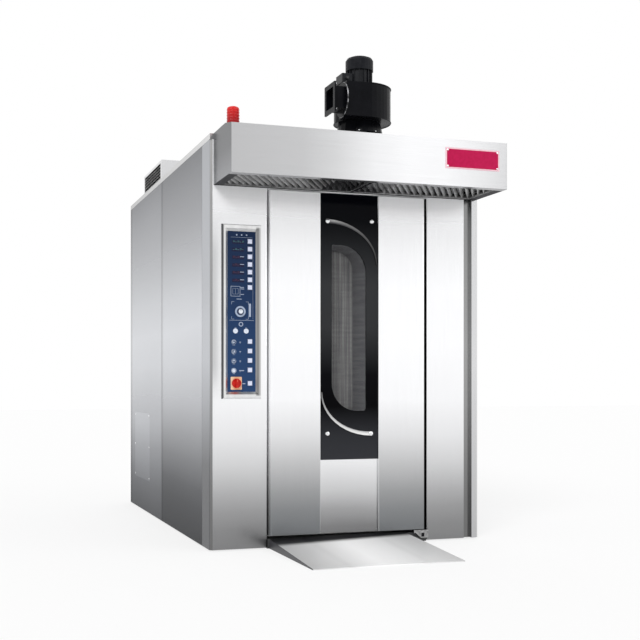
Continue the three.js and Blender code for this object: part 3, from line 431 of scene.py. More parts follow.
# The chain: links of two plates and two rollers that follow the line round both sprockets.
front_wheel = middle_of("turntable")
rear_wheel = middle_of("drive_sprocket")
chain_z = middle_of("drive_chain").z
large_pitch = 0.1065
small_pitch = 0.0505
link_pitch = 0.0254

oiled_steel = mottled("oiled steel", (60.0, 3.0), (0.09, 0.085, 0.08), (0.30, 0.29, 0.27), 0.28, 0.3, Metallic=1.0)
oiled_steel.give("drive_sprocket")


def chain_line():
    """The chain's closed path: half a turn on each wheel, and straight runs between."""
    steps = 24
    gap = rear_wheel.y - front_wheel.y
    lean = math.asin((large_pitch - small_pitch) / gap)
    line = []
    for centre, radius, start, end in (
        (front_wheel, large_pitch, math.pi - lean, 2 * math.pi + lean),
        (rear_wheel, small_pitch, lean, math.pi - lean),
    ):
        for i in range(steps + 1):
            turn = start + (end - start) * i / steps
            line.append((centre.x + radius * math.cos(turn), centre.y + radius * math.sin(turn), chain_z))
    return line


line = chain_line()
path = bpy.data.meshes.new("chain path")
path.from_pydata(line, [(i, (i + 1) % len(line)) for i in range(len(line))], [])
chain = Repeat("chain links", {"Pitch": link_pitch, "Plate": 0.0022, "Roller": 0.0036})
loop = chain.node("GeometryNodeMeshToCurve", {}, chain.points)
stops = chain.node("GeometryNodeCurveToPoints", {"mode": "LENGTH"}, Curve=loop, Length=chain.size("Pitch"))
turn = chain.node("FunctionNodeAlignEulerToVector", {"axis": "X"}, Vector=stops.of("Tangent"))
plate_size = chain.node("ShaderNodeCombineXYZ", {}, chain.size("Pitch") * 1.25, chain.size("Plate") * 3.2,
                        chain.size("Plate"))
plate = chain.node("GeometryNodeMeshCube", {}, plate_size)
roller = chain.node("GeometryNodeMeshCylinder", {}, Vertices=10, Radius=chain.size("Roller"), Depth=0.013)
parts = []
for lift in (-0.0076, 0.0076):
    parts.append(chain.node("GeometryNodeTransform", {}, Geometry=plate, Translation=(0, 0, lift)))
for along in (-0.25, 0.25):
    reach = chain.node("ShaderNodeCombineXYZ", {}, chain.size("Pitch") * along, 0.0, 0.0)
    parts.append(chain.node("GeometryNodeTransform", {}, Geometry=roller, Translation=reach))
link = chain.node("GeometryNodeJoinGeometry", {})
for part in parts:
    chain.tree.links.new(part.socket, link.socket.node.inputs[0])
chain.finish(stops, link, oiled_steel, turn=turn)
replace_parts(chain.make("chain_links", path, "cabinet", "dark_steel"), "drive_chain")


def table_screws(shape):
    """Six bolts and a domed cap on the top of the table."""
    top = 0.069
    bolt_ring(shape, front_wheel, 0.09, top, 6, 30, 0.008, 0.006)
    add_lathed(shape, [(0, 0), (0.034, 0), (0.034, 0.003), (0.030, 0.006), (0, 0.0075)],
               (front_wheel.x, front_wheel.y, top))


mesh_piece("turntable_screws", "turntable", table_screws, galvanised)


def drive_fittings(shape):
    """Four bolts on the gear case and a cap on the motor."""
    low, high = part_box("turntable_drive")
    centre = (low + high) / 2
    for x in (-0.061, 0.061):
        for y in (-0.061, 0.061):
            hexagon_head(shape, (centre.x + x, centre.y + y, low.z + 0.096), 0.006, 0.005)
    add_lathed(shape, [(0, -0.001), (0.030, -0.001), (0.030, 0.004), (0.026, 0.006), (0, 0.006)],
               (centre.x, centre.y, high.z))


mesh_piece("turntable_drive_fittings", "cabinet", drive_fittings, galvanised)


# ---------------------------------------------------------------- chamber
# The chamber and the heater compartment are welded from stainless sheet, which heat has tinted
# near the elements. Slabs of mineral wool stand round them, behind the skins.

liner_steel = mottled("chamber steel", (2.6, 5.0), (0.50, 0.50, 0.50), (0.64, 0.64, 0.63), 0.26, 0.22,
                      (1.0, 3.0, (14, 14, 420)), Metallic=1.0)
liner_steel.cover(0.55 * liner_steel.ease(liner_steel.y, -0.25, 0.35), (0.46, 0.36, 0.24))
liner_steel.bump(liner_steel.fine, 0.06, 0.0004)
liner_steel.give("chamber_liner", "air_duct_left", "air_duct_right")

wool = Finish("mineral wool", Roughness=1.0)
fluff = wool.noise(70.0, 6.0, (1, 1, 3))
wool.set(Base_Color=wool.shade(fluff, [(0.3, (0.30, 0.24, 0.10)), (0.7, (0.55, 0.47, 0.26))]))
wool.bump(fluff, 0.9, 0.004)


def quilted(source, name, depth, finish):
    """A copy of a node whose outer faces are fluffed inwards, so that it stays inside its box."""
    shape = bmesh.new()
    shape.from_mesh(node[source].data)
    bmesh.ops.remove_doubles(shape, verts=shape.verts, dist=1e-5)
    low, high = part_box(source)
    slab = 0.3
    for axis, start, end in ((Vector((0, 0, 1)), low.z, high.z), (Vector((0, 1, 0)), low.y, high.y)):
        cut = start + slab
        while cut < end - 0.05:
            bmesh.ops.bisect_plane(shape, geom=shape.verts[:] + shape.edges[:] + shape.faces[:],
                                   plane_co=axis * cut, plane_no=axis, dist=1e-5)
            cut += slab
    for corner in shape.verts:
        at = corner.co
        if min(abs(at.x - low.x), abs(at.x - high.x)) < 1e-4:
            wave = 0.5 + 0.5 * math.sin(at.z * 21.0 + at.y * 13.0)
            at.x += depth * wave * (1 if at.x < 0 else -1)
    data = bpy.data.meshes.new(name)
    shape.to_mesh(data)
    shape.free()
    data.materials.append(finish.material)
    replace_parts(add_piece(name, data, "cabinet"), source)


quilted("insulation_jacket", "wool_slabs", 0.008, wool)

heat_worn = mottled("heat worn steel", (34.0, 5.0), (0.05, 0.045, 0.042), (0.15, 0.125, 0.11), 0.45, 0.3, Metallic=0.7)
heat_worn.cover(0.7 * heat_worn.ease(heat_worn.z, 0.7, 1.5), (0.10, 0.085, 0.12))
heat_worn.bump(heat_worn.patches, 0.3, 0.0006)
heat_worn.give("heater_bank")


def spaced(low, high, margin, count):
    """Places at equal steps between two ends, a margin in from each."""
    return [low + margin + (high - low - 2 * margin) * i / (count - 1) for i in range(count)]


def domed_heads(name, places, finish, turn=(0, 0, 0), radius=0.0055, height=0.0022, segments=12, rings=8, flat="Z"):
    """Balls pressed flat on one axis and turned to face out of the sheet that they hold."""
    points = bpy.data.meshes.new(name + " points")
    points.from_pydata(places, [], [])
    heads = Repeat(name, {"Radius": radius, "Height": height})
    ball = heads.node("GeometryNodeMeshUVSphere", {}, Segments=segments, Rings=rings, Radius=heads.size("Radius"))
    press = heads.node("ShaderNodeCombineXYZ", {}, 1.0, 1.0, 1.0)
    heads.feed(press.socket.node.inputs[flat], heads.size("Height") / heads.size("Radius"))
    head = heads.node("GeometryNodeTransform", {}, Geometry=ball, Scale=press)
    heads.finish(heads.points, head, finish, turn=tuple(math.radians(a) for a in turn))
    heads.make(name, points, "cabinet", "stainless_bright")


for side in ("left", "right"):
    low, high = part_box("air_duct_" + side)
    inner = high.x if side == "left" else low.x
    places = [(inner, y, z) for y in (low.y + 0.02, high.y - 0.02) for z in spaced(low.z, high.z, 0.05, 10)]
    domed_heads("air_duct_rivets_" + side, places, liner_steel, radius=0.005, height=0.0018, segments=10, rings=6,
                flat="X")


# ---------------------------------------------------------------- circulation fan
# A welded stainless wheel hangs from its shaft in the heater compartment. Its motor, cast and
# painted grey, stands on the roof under the louvred box.

wheel_steel = mottled("fan steel", (20.0, 5.0), (0.32, 0.29, 0.25), (0.55, 0.53, 0.50), 0.3, 0.25, Metallic=1.0)
wheel_steel.give("circulation_impeller")

motor_paint = mottled("grey motor paint", (9.0, 4.0), (0.20, 0.23, 0.25), (0.27, 0.30, 0.32), 0.38, 0.2, (160.0, 3.0),
                      Coat_Weight=0.2, Coat_Roughness=0.3)
motor_paint.bump(motor_paint.fine, 0.3, 0.0006)
motor_paint.give("circulation_motor")


def fan_motor_bolts(shape):
    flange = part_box("circulation_motor")[0].z + 0.0120
    bolt_ring(shape, middle_of("circulation_motor"), 0.099, flange, 6, 0, 0.0045, 0.004)


mesh_piece("circulation_motor_bolts", "cabinet", fan_motor_bolts, galvanised)


# ---------------------------------------------------------------- skins, posts and roof
# Polished sheet, brushed upright. Its colour holds a painted reflection of the room in broad soft
# bands: pale in the middle, greyer above and dark towards the floor. The sides are painted darker
# than the front, as painted shade.

def brushed_sheet(name, bands, metal=1.0, cool=(0.995, 0.998, 1.012), grain=(230, 230, 5), across="Z", reach=2.2):
    """Stainless sheet with painted reflection bands in its colour, which follow height, or width where across is X."""
    sheet = Finish(name, Specular_IOR_Level=0.0)
    sheet.hairs = sheet.noise(1.0, 4.0, grain)
    place = sheet.z / reach if across == "Z" else sheet.x / reach + 0.5
    place = place + 0.03 * (sheet.noise(1.1, 3.0) - 0.5)
    sheet.colour = sheet.shade(place, [(at, tuple(tone * c for c in cool) if isinstance(tone, float) else tone)
                                       for at, tone in bands])
    sheet.metal = metal if isinstance(metal, float) else sheet.shade(place, metal)
    sheet.set(Metallic=sheet.metal, Roughness=0.16 + 0.14 * sheet.hairs)
    sheet.bump(sheet.hairs, 0.035, 0.0003)
    return sheet


def coat(sheet, *nodes):
    """Draws the brushed streaks into the sheet's colour and gives it to nodes."""
    sheet.set(Base_Color=sheet.node("ShaderNodeHueSaturation", {}, Color=sheet.colour,
                                    Value=0.97 + 0.06 * sheet.hairs))
    sheet.give(*nodes)


# Tones of painted reflection, and shares of metal, by height, as parts of the cabinet's height.
FRONT_HEIGHTS = (0.0, 0.045, 0.09, 0.136, 0.205, 0.273, 0.364, 0.50, 0.64, 0.727, 0.773, 0.800, 0.825, 0.845, 1.0)
COLUMN_PAINTED_REFLECTION = list(zip(FRONT_HEIGHTS, (0.230, 0.260, 0.334, 0.450, 0.660, 0.815, 0.940, 0.985, 0.975, 0.900, 0.850, 0.835,
                                  0.93, 1.0, 1.0)))
FRONT_METAL = [(0.00, 1.0), (0.80, 1.0), (0.855, 0.10), (1.00, 0.10)]
SIDE_HEIGHTS = (0.0, 0.045, 0.09, 0.136, 0.205, 0.273, 0.364, 0.455, 0.545, 0.636, 0.727, 0.818, 0.909, 1.0)
SIDE_PAINTED_REFLECTION = list(zip(SIDE_HEIGHTS, (0.075, 0.087, 0.104, 0.136, 0.208, 0.304, 0.469, 0.588, 0.647, 0.552, 0.425, 0.320,
                               0.258, 0.190)))
REAR_PAINTED_REFLECTION = list(zip(SIDE_HEIGHTS, (0.112, 0.138, 0.173, 0.230, 0.302, 0.400, 0.485, 0.580, 0.612, 0.534, 0.427, 0.354,
                               0.302, 0.220)))
SIDE_METAL = list(zip(SIDE_HEIGHTS, (0.12, 0.125, 0.13, 0.15, 0.30, 0.50, 0.70, 0.85, 0.90, 0.85, 0.75, 0.60, 0.45,
                                     0.34)))
BLUE_GREY = (0.972, 0.995, 1.050)
CABINET_HEIGHT = 2.2

post_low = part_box("corner_post_left")[0]
right_low, right_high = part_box("corner_post_right")
rear_low, rear_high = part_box("rear_panel")
cover_low, cover_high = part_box("access_cover")
roof_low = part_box("roof_panel")[0]
vent_low, vent_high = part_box("roof_motor_box")

coat(brushed_sheet("front sheet", COLUMN_PAINTED_REFLECTION, FRONT_METAL), "front_header")
hinge_sheet = brushed_sheet("hinge column sheet", COLUMN_PAINTED_REFLECTION, FRONT_METAL)
hinge_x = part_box("hinge_column")[0].x
# The hinge column's left flank, beside the door gap, is painted near black as painted shade.
hinge_sheet.cover(1 - hinge_sheet.past("x", hinge_x, 0.0008, 0.0030), (0.006, 0.006, 0.007))
coat(hinge_sheet, "hinge_column")
column_sheet = brushed_sheet("column sheet", COLUMN_PAINTED_REFLECTION, FRONT_METAL)
# A grey painted reflection on the column's left strip at mid height.
outer = 1 - column_sheet.past("x", post_low.x, 0.016, 0.085)
middle = column_sheet.within(column_sheet.z, (0.75, 1.0), (1.55, 1.8))
column_sheet.cover(outer * middle, (0.60, 0.605, 0.61))
coat(column_sheet, "control_column")

# The two left skins have painted shade where their folded edges turn in.
seam_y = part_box("side_panel_left_rear")[0].y
side_sheet = brushed_sheet("side sheet", SIDE_PAINTED_REFLECTION, SIDE_METAL, BLUE_GREY)
folded = 1 - side_sheet.ease(abs(side_sheet.y - seam_y), 0.004, 0.060)
side_sheet.cover(0.30 * folded, (0.03, 0.03, 0.032))
coat(side_sheet, "side_panel_left_front")
rear_sheet = brushed_sheet("rear side sheet", REAR_PAINTED_REFLECTION, SIDE_METAL, BLUE_GREY)
folded = rear_sheet.past("y", rear_low.y, -0.075, -0.030)
folded = folded + (1 - rear_sheet.ease(abs(rear_sheet.y - seam_y), 0.004, 0.040))
rear_sheet.cover(0.28 * folded, (0.03, 0.03, 0.032))
coat(rear_sheet, "side_panel_left_rear")
coat(brushed_sheet("cover sheet", [(at, tone * 1.12 + 0.02) for at, tone in REAR_PAINTED_REFLECTION], SIDE_METAL, BLUE_GREY),
     "access_cover")
# Milder painted reflection bands for the far sides and the back.
far_bands = [(0.0, 0.34), (0.15, 0.40), (0.35, 0.55), (0.52, 0.64), (0.75, 0.56), (1.0, 0.46)]
coat(brushed_sheet("far side sheet", far_bands, 0.85, BLUE_GREY),
     "side_panel_right_front", "side_panel_right_rear", "rear_panel")

# The front corner posts: painted shade on the bevel of the left one, and in a sunk strip on the right.
post_sheet = brushed_sheet("post sheet", [
    (0.0, 0.125), (0.04, 0.123), (0.136, 0.128), (0.205, 0.151), (0.273, 0.260), (0.364, 0.419), (0.455, 0.545),
    (0.545, 0.555), (0.636, 0.498), (0.83, 0.455), (1.0, 0.40)], 0.45, BLUE_GREY)
bevel_painted_shade = post_sheet.shade(post_sheet.z / CABINET_HEIGHT, [
    (0.0, 0.16), (0.08, 0.17), (0.16, 0.19), (0.28, 0.26), (0.45, 0.31), (0.85, 0.34), (1.0, 0.42)])
post_sheet.cover(post_sheet.past("x", post_low.x, 0.0006, 0.0050), bevel_painted_shade)
coat(post_sheet, "corner_post_left")
edge_sheet = brushed_sheet("edge sheet", [
    (0.0, 0.49), (0.1, 0.53), (0.25, 0.60), (0.45, 0.70), (0.75, 0.68), (1.0, 0.62)])
sunk_painted_shade = edge_sheet.shade(edge_sheet.z / CABINET_HEIGHT, [
    (0.0, 0.165), (0.1, 0.185), (0.2, 0.235), (0.35, 0.325), (0.5, 0.37), (0.7, 0.32), (0.85, 0.27), (1.0, 0.30)])
sunk = edge_sheet.past("y", right_low.y, 0.0006, 0.004)
sunk = sunk * (1 - edge_sheet.past("x", right_high.x, -0.0432, -0.0428))
edge_sheet.cover(sunk, sunk_painted_shade)
coat(edge_sheet, "corner_post_right")

# The roof has a painted highlight on its rim on the left, and its box has painted shade inside the vent.
roof_grain = (230, 5, 230)
roof_sheet = brushed_sheet("roof sheet", [(0.0, 0.42), (1.0, 0.50)], grain=roof_grain)
roof_depth = 2.45
rim_painted_highlight = roof_sheet.shade((roof_sheet.y - roof_low.y) / roof_depth, [(0.0, 0.64), (0.25, 0.56), (1.0, 0.40)])
roof_sheet.cover(1 - roof_sheet.past("x", roof_low.x, 0.0005, 0.0020), rim_painted_highlight)
coat(roof_sheet, "roof_panel")
box_sheet = brushed_sheet("roof box sheet", [(0.0, 0.62), (1.0, 0.70)], grain=roof_grain)
# Painted shade inside the box's vent.
inside = box_sheet.within(box_sheet.x, (vent_low.x + 0.0012, vent_low.x + 0.0030),
                          (vent_low.x + 0.016, vent_low.x + 0.022))
inside = inside * box_sheet.within(box_sheet.y, (vent_low.y + 0.006, vent_low.y + 0.010),
                                   (vent_high.y - 0.010, vent_high.y - 0.006))
inside = inside * (1 - box_sheet.past("z", vent_high.z, -0.006, -0.003))
box_sheet.cover(inside, (0.22, 0.22, 0.225))
coat(box_sheet, "roof_motor_box")

polished = mottled("polished stainless", (30.0, 4.0), (0.72, 0.73, 0.74), (0.84, 0.85, 0.86), 0.12, 0.14, Metallic=1.0)

block_steel = mottled("hinge block steel", (60.0, 4.0), 0.20, 0.42, 0.2, 0.2, Metallic=1.0)
block_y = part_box("lower_hinge_block")[0].y
# The hinge block's faces behind its front are painted dark, as painted shade.
block_steel.cover(block_steel.past("y", block_y, 0.0006, 0.0040), (0.10, 0.10, 0.11))
block_steel.give("lower_hinge_block")

places = [(cover_low.x, y, z) for y in (cover_low.y + 0.018, cover_high.y - 0.018)
          for z in spaced(cover_low.z, cover_high.z, 0.018, 3)]
domed_heads("access_cover_screws", places, polished, (0, 90, 0))

places = [(x, rear_high.y, z) for x in (rear_low.x + 0.022, 0.0, rear_high.x - 0.022)
          for z in spaced(rear_low.z, rear_high.z, 0.06, 9)]
domed_heads("rear_panel_screws", places, polished, (90, 0, 0))


# ---------------------------------------------------------------- hood
# A folded stainless hood carries two slatted filters on its underside. Its front holds a painted
# reflection of a soft lamp on the right. A bare plate of crimson enamel is riveted to the front.

hood_low, hood_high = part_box("hood_shell")
hood_sheet = brushed_sheet("hood sheet", [
    (0.0, 0.515), (0.24, 0.560), (0.36, 0.660), (0.50, 0.850), (0.62, 0.915), (0.76, 0.890), (0.89, 0.770),
    (1.0, 0.640)], 0.85, grain=(5, 230, 230), across="X", reach=1.535)
end_face = hood_sheet.ease(abs(hood_sheet.x), hood_high.x - 0.0010, hood_high.x - 0.0004)
under_face = 1 - hood_sheet.past("z", hood_low.z, 0.0005, 0.0030)
hood_height = 0.28
# The end faces hold painted shade, paler low down.
end_painted_shade = hood_sheet.shade((hood_sheet.z - hood_low.z) / hood_height, [
    (0.0, (0.232, 0.236, 0.250)), (0.5, (0.112, 0.115, 0.122)), (1.0, (0.090, 0.092, 0.098))])

# Underneath, painted light: a pale painted reflection along the front, and painted shade over the
# rest, deepest along the cabinet and between the filters.
cabinet_front = -1.225
rear_strip = hood_sheet.past("y", cabinet_front, -0.037, -0.021)
front_strip = 1 - hood_sheet.past("y", hood_low.y, 0.036, 0.050)
underside_painted_light = hood_sheet.blend(front_strip, (0.060, 0.060, 0.064), (0.30, 0.30, 0.31))
underside_painted_light = hood_sheet.blend(rear_strip, underside_painted_light, (0.020, 0.020, 0.022))
bridge = 1 - hood_sheet.ease(abs(hood_sheet.x), 0.012, 0.030)
underside_painted_light = hood_sheet.blend(bridge * (1 - front_strip), underside_painted_light, (0.014, 0.014, 0.016))
hood_sheet.cover(end_face, end_painted_shade)
hood_sheet.cover(under_face, underside_painted_light)
hood_sheet.set(Metallic=0.85 - 0.75 * under_face * (1 - front_strip))
coat(hood_sheet, "hood_shell")

# The filters have painted shade between their slats, and in the middle a painted reflection of the black glass.
filter_steel = mottled("filter steel", (26.0, 5.0), 0.26, 0.42, 0.14, 0.16, Metallic=0.6, Specular_IOR_Level=0.0)
black_glass_painted_reflection = 1 - filter_steel.ease(abs(filter_steel.x + 0.004), 0.166, 0.176)
filter_steel.cover(filter_steel.ease(filter_steel.z, 1.9335, 1.9500), (0.03, 0.03, 0.03))
filter_steel.cover(0.80 * black_glass_painted_reflection, (0.012, 0.012, 0.016))
filter_steel.give("hood_filter_left", "hood_filter_right")

enamel = mottled("crimson enamel", (60.0, 2.0), (0.44, 0.004, 0.060), (0.50, 0.006, 0.075), 0.3, 0.1, (200.0, 2.0),
                 Specular_IOR_Level=0.15)
pale_rim = mottled("pale enamel", (60.0, 2.0), (0.80, 0.50, 0.56), (0.86, 0.58, 0.64), 0.3, 0.1, (200.0, 2.0),
                   Specular_IOR_Level=0.2)

# Where the bare plate lies on the hood's front.
plate_low, plate_high = Vector((0.402, hood_low.y, 2.022)), Vector((0.721, hood_low.y, 2.1335))


def block_piece(name, body, finish, low, high, bevel):
    """A new piece of one block between two corners."""
    mesh_piece(name, body, lambda shape: add_box(shape, low, high, bevel), finish)


rim = 0.008
block_piece("bare_plate_rim", "cabinet", pale_rim,
            plate_low - Vector((0, 0.0022, 0)), plate_high + Vector((0, 0.0002, 0)), 0.0008)
block_piece("bare_plate", "cabinet", enamel,
            plate_low + Vector((rim, -0.0030, rim)), plate_high - Vector((rim, 0.0018, rim)), 0.0005)
places = [(x, hood_low.y - 0.0028, z) for x in (plate_low.x + 0.013, plate_high.x - 0.013)
          for z in (plate_low.z + 0.013, plate_high.z - 0.013)]
domed_heads("bare_plate_rivets", places, polished, (90, 0, 0))


# ---------------------------------------------------------------- beacon
# A warning light: a ribbed lens of red acrylic on a black moulded foot. Its colour and faint glow are
# painted deep red low down and brighter above, as painted shade.

lens_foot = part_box("beacon_lens")[0].z
lens = Finish("red lens", Roughness=0.22, Specular_IOR_Level=0.3, Transmission_Weight=0.08, Emission_Strength=0.10)
lens_height = 0.09
rise = (lens.z - lens_foot) / lens_height
lens.set(Base_Color=lens.shade(rise, [(0.0, (0.30, 0.002, 0.006)), (0.45, (0.46, 0.005, 0.006)),
                                      (0.9, (0.62, 0.012, 0.010))]),
         Emission_Color=lens.shade(rise, [(0.0, (0.30, 0.0, 0.0)), (0.9, (0.85, 0.01, 0.01))]))
lens.give("beacon_lens")

moulded = mottled("black moulding", (300.0, 3.0), (0.012, 0.012, 0.013), (0.028, 0.028, 0.030), 0.42, 0.25)
moulded.bump(moulded.patches, 0.2, 0.0003)
moulded.give("beacon_base")

# Four raised ribs round the lens.
rib = [(0.0320, 0), (0.0326, 0), (0.0337, 0.0020), (0.0326, 0.0040), (0.0320, 0.0040), (0.0320, 0)]
centre = middle_of("beacon_lens")
turned_piece("beacon_bands", "cabinet", lens, rib,
             [(centre.x, centre.y, lens_foot + 0.0148 * i) for i in range(1, 5)])


# ---------------------------------------------------------------- blower
# A centrifugal blower pressed from sheet and sprayed with black enamel, its motor standing on
# top under a cooling cowl. The outlet points to the left.

black_enamel = mottled("black enamel", (12.0, 5.0), (0.0018, 0.0020, 0.0030), (0.0050, 0.0052, 0.0070), 0.18, 0.22,
                       Specular_IOR_Level=0.07)
black_enamel.bump(black_enamel.noise(220.0, 2.0), 0.12, 0.0004)
black_enamel.give("blower_housing")
mottled("motor enamel", (16.0, 5.0), (0.006, 0.0065, 0.009), (0.016, 0.017, 0.020), 0.24, 0.22,
        Specular_IOR_Level=0.16).give("blower_motor")
mottled("cowl moulding", (22.0, 5.0), (0.005, 0.0055, 0.008), (0.015, 0.016, 0.019), 0.26, 0.22,
        Specular_IOR_Level=0.09).give("blower_cowl")
galvanised.give("blower_impeller")

hood_top = 2.2
house_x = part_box("blower_housing")[0].x
motor_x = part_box("blower_motor")[0].x
cowl_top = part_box("blower_cowl")[1].z
blower = middle_of("blower_cowl")
blower.z = hood_top
outlet = Vector((house_x, blower.y - 0.120, hood_top + 0.150))


def scroll_seams(shape):
    """Rolled edges where the flat ends of the scroll meet its curved wall."""
    steps, bead = 48, 0.0032
    for z in (blower.z + 0.0625, blower.z + 0.2375):
        rings = []
        for i in range(steps + 1):
            share = i / steps
            turn = math.pi * (1 - 1.5 * share)
            out = Vector((math.cos(turn), math.sin(turn), 0))
            at = Vector((blower.x, blower.y, z)) + out * (0.1325 + 0.044 * share)
            rings.append([shape.verts.new(at + out * bead * math.cos(a) + Vector((0, 0, bead * math.sin(a))))
                          for a in (math.pi * k / 4 for k in range(8))])
        join_rows(shape, rings)
        close_ends(shape, rings)


mesh_piece("blower_seams", "cabinet", scroll_seams, black_enamel)

# The pressed rim of the round end plate. Its rubbed patches stand partly as a painted highlight.
rim_wear_and_highlight = Finish("worn rim", Metallic=0.6)
rub_and_highlight = rim_wear_and_highlight.ease(rim_wear_and_highlight.noise(50.0, 4.0), 0.42, 0.62)
rim_wear_and_highlight.set(Base_Color=rim_wear_and_highlight.blend(rub_and_highlight, (0.02, 0.02, 0.02), (0.32, 0.32, 0.33)), Roughness=0.3 + 0.2 * rub_and_highlight)
rolled = [(0.081, 0), (0.0885, 0), (0.0900, 0.003), (0.0885, 0.006), (0.084, 0.0065), (0.081, 0.004), (0.081, 0)]
turned_piece("blower_outlet_rim", "cabinet", rim_wear_and_highlight, rolled,
             [(outlet.x + 0.0665, outlet.y, outlet.z)], "X", 40)


def blower_bolts(shape):
    """Four bolts on the outlet's flange, six round the motor and eight on the foot."""
    for y in (-0.064, 0.064):
        for z in (-0.064, 0.064):
            hexagon_head(shape, (outlet.x + 0.008, outlet.y + y, outlet.z + z), 0.0055, 0.005, "X")
    bolt_ring(shape, blower, 0.070, blower.z + 0.2460, 6, 30, 0.004, 0.004)
    bolt_ring(shape, blower, 0.1205, blower.z + 0.0030, 8, 22.5, 0.0045, 0.004)


mesh_piece("blower_bolts", "cabinet", blower_bolts, polished)


def terminal_box(shape):
    """The lid of the motor's terminal box, and the gland of its cable."""
    low, high = blower.z + 0.2645, blower.z + 0.3165
    add_box(shape, (motor_x - 0.004, blower.y - 0.044, low + 0.002), (motor_x + 0.001, blower.y + 0.044, high - 0.002),
            0.0015)
    add_lathed(shape, [(0, -0.001), (0.009, -0.001), (0.009, 0.007), (0.0075, 0.012), (0.0075, 0.018), (0, 0.018)],
               (motor_x + 0.024, blower.y - 0.041, (low + high) / 2), "Y", 12)


mesh_piece("blower_terminal_cover", "cabinet", terminal_box, moulded)

# A ring of raised bars on the cowl's crown, seen as its dark slots. Each keeps the turn that it
# had on the ring while the ring is lifted into place.
bars = Repeat("cowl bars", {"Count": 28, "Radius": 0.036, "Length": 0.022, "Width": 0.0026})
circle = bars.node("GeometryNodeMeshCircle", {}, Vertices=bars.size("Count"), Radius=bars.size("Radius"))
outward = bars.node("FunctionNodeAlignEulerToVector", {"axis": "X"}, Vector=bars.node("GeometryNodeInputPosition", {}))
circle = bars.node("GeometryNodeStoreNamedAttribute", {"data_type": "FLOAT_VECTOR"}, Geometry=circle, Name="turn",
                   Value=outward)
circle = bars.node("GeometryNodeTransform", {}, Geometry=circle, Translation=(blower.x, blower.y, cowl_top - 0.0052))
sized = bars.node("ShaderNodeCombineXYZ", {}, bars.size("Length"), bars.size("Width"), 0.004)
kept = bars.node("GeometryNodeInputNamedAttribute", {"data_type": "FLOAT_VECTOR"}, Name="turn")
bars.finish(circle, bars.node("GeometryNodeMeshCube", {}, sized), black_enamel, turn=kept)
bars.make("blower_cowl_bars", bpy.data.meshes.new("cowl points"), "cabinet", "black_paint")


# ---------------------------------------------------------------- control panel
# A polished bezel frames a blue film with printed lines and small lamps. Square white keys, a
# timer dial and a red rotary switch on a cream plate stand through it.

bezel_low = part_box("control_bezel")[0]
panel_x, panel_z = middle_of("control_bezel").x, middle_of("control_bezel").z
film_y = bezel_low.y + 0.0140

# The bezel: painted shade on its left flank, and bands of painted shade on the right of the film.
half_bezel = 0.11
bezel_steel = mottled("bezel steel", (24.0, 3.0, (1, 1, 0.2)), 0.70, 0.86, 0.26, 0.12, Metallic=1.0)
painted_shade = bezel_steel.shade((bezel_steel.x - panel_x) / half_bezel, [
    (0.0, 0.84), (0.66, 0.80), (0.72, 0.34), (0.80, 0.24), (0.86, 0.44), (0.92, 0.60), (0.96, 0.80), (1.0, 0.92)])
beside = 1 - bezel_steel.ease(abs(bezel_steel.z - panel_z), 0.440, 0.452)
beside = beside * bezel_steel.past("x", panel_x, 0.060, 0.066)
bezel_steel.cover(beside, painted_shade)
bezel_steel.cover(1 - bezel_steel.past("x", bezel_low.x, 0.004, 0.011), (0.085, 0.085, 0.090))
bezel_steel.give("control_bezel")

# The film: paler at its foot, with the cream plate of the main switch set into it.
blue_film = Finish("blue film", Specular_IOR_Level=0.12)
depth = blue_film.past("z", panel_z, -0.43, 0.43)
fleck = blue_film.noise(260.0, 2.0)
on_plate = (blue_film.within(blue_film.x, (panel_x - 0.0611, panel_x - 0.0607), (panel_x + 0.0007, panel_x + 0.0011))
            * blue_film.within(blue_film.z, (panel_z - 0.4146, panel_z - 0.4142), (panel_z - 0.3458, panel_z - 0.3454))
            * (1 - blue_film.past("y", film_y, -0.0008, -0.0002)))
blue_film.colour = blue_film.blend(depth, (0.018, 0.050, 0.136), (0.006, 0.017, 0.053))
blue_film.cover(0.25 * fleck, (0.028, 0.060, 0.145))
plate_tone = blue_film.shade((blue_film.x - panel_x + 0.061) / 0.062, [
    (0.0, (0.86, 0.66, 0.46)), (0.5, (0.78, 0.42, 0.22)), (1.0, (0.80, 0.52, 0.34))])
blue_film.cover(on_plate, plate_tone)
blue_film.set(Roughness=0.30 + 0.15 * fleck)
blue_film.bump(fleck, 0.08, 0.0002)
blue_film.give("control_face")

keys = ["key_%02d" % i for i in range(1, 13)]
key_cap = mottled("white key cap", (90.0, 4.0), (0.60, 0.64, 0.80), (0.74, 0.77, 0.92), 0.32, 0.2,
                  Specular_IOR_Level=0.3)
key_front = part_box("key_01")[0].y
# The key's sides, behind its face, are painted dark as painted shade.
key_cap.cover(key_cap.past("y", key_front, 0.0004, 0.0018), (0.10, 0.14, 0.24))
key_cap.bump(key_cap.noise(400.0, 2.0), 0.1, 0.0002)
key_cap.give(*keys)

dial_cap = Finish("dial cap", Coat_Weight=0.25, Coat_Roughness=0.2)
dial = middle_of("timer_dial")
apart = dial_cap.node("ShaderNodeCombineXYZ", {}, dial_cap.x - dial.x, 0.0, dial_cap.z - dial.z)
reach = dial_cap.node("ShaderNodeVectorMath", {"operation": "LENGTH"}, apart).of("Value")
dial_radius = 0.03
dial_rings = dial_cap.shade(reach / dial_radius, [
    (0.0, (0.82, 0.86, 0.92)), (0.34, (0.74, 0.79, 0.86)), (0.44, (0.020, 0.038, 0.10)), (0.62, (0.020, 0.038, 0.10)),
    (0.72, (0.40, 0.48, 0.62)), (0.92, (0.34, 0.42, 0.56)), (0.97, (0.10, 0.14, 0.24)), (1.0, (0.06, 0.09, 0.18))])
dial_cap.set(Base_Color=dial_rings, Roughness=0.3 + 0.1 * reach)
dial_cap.give("timer_dial")

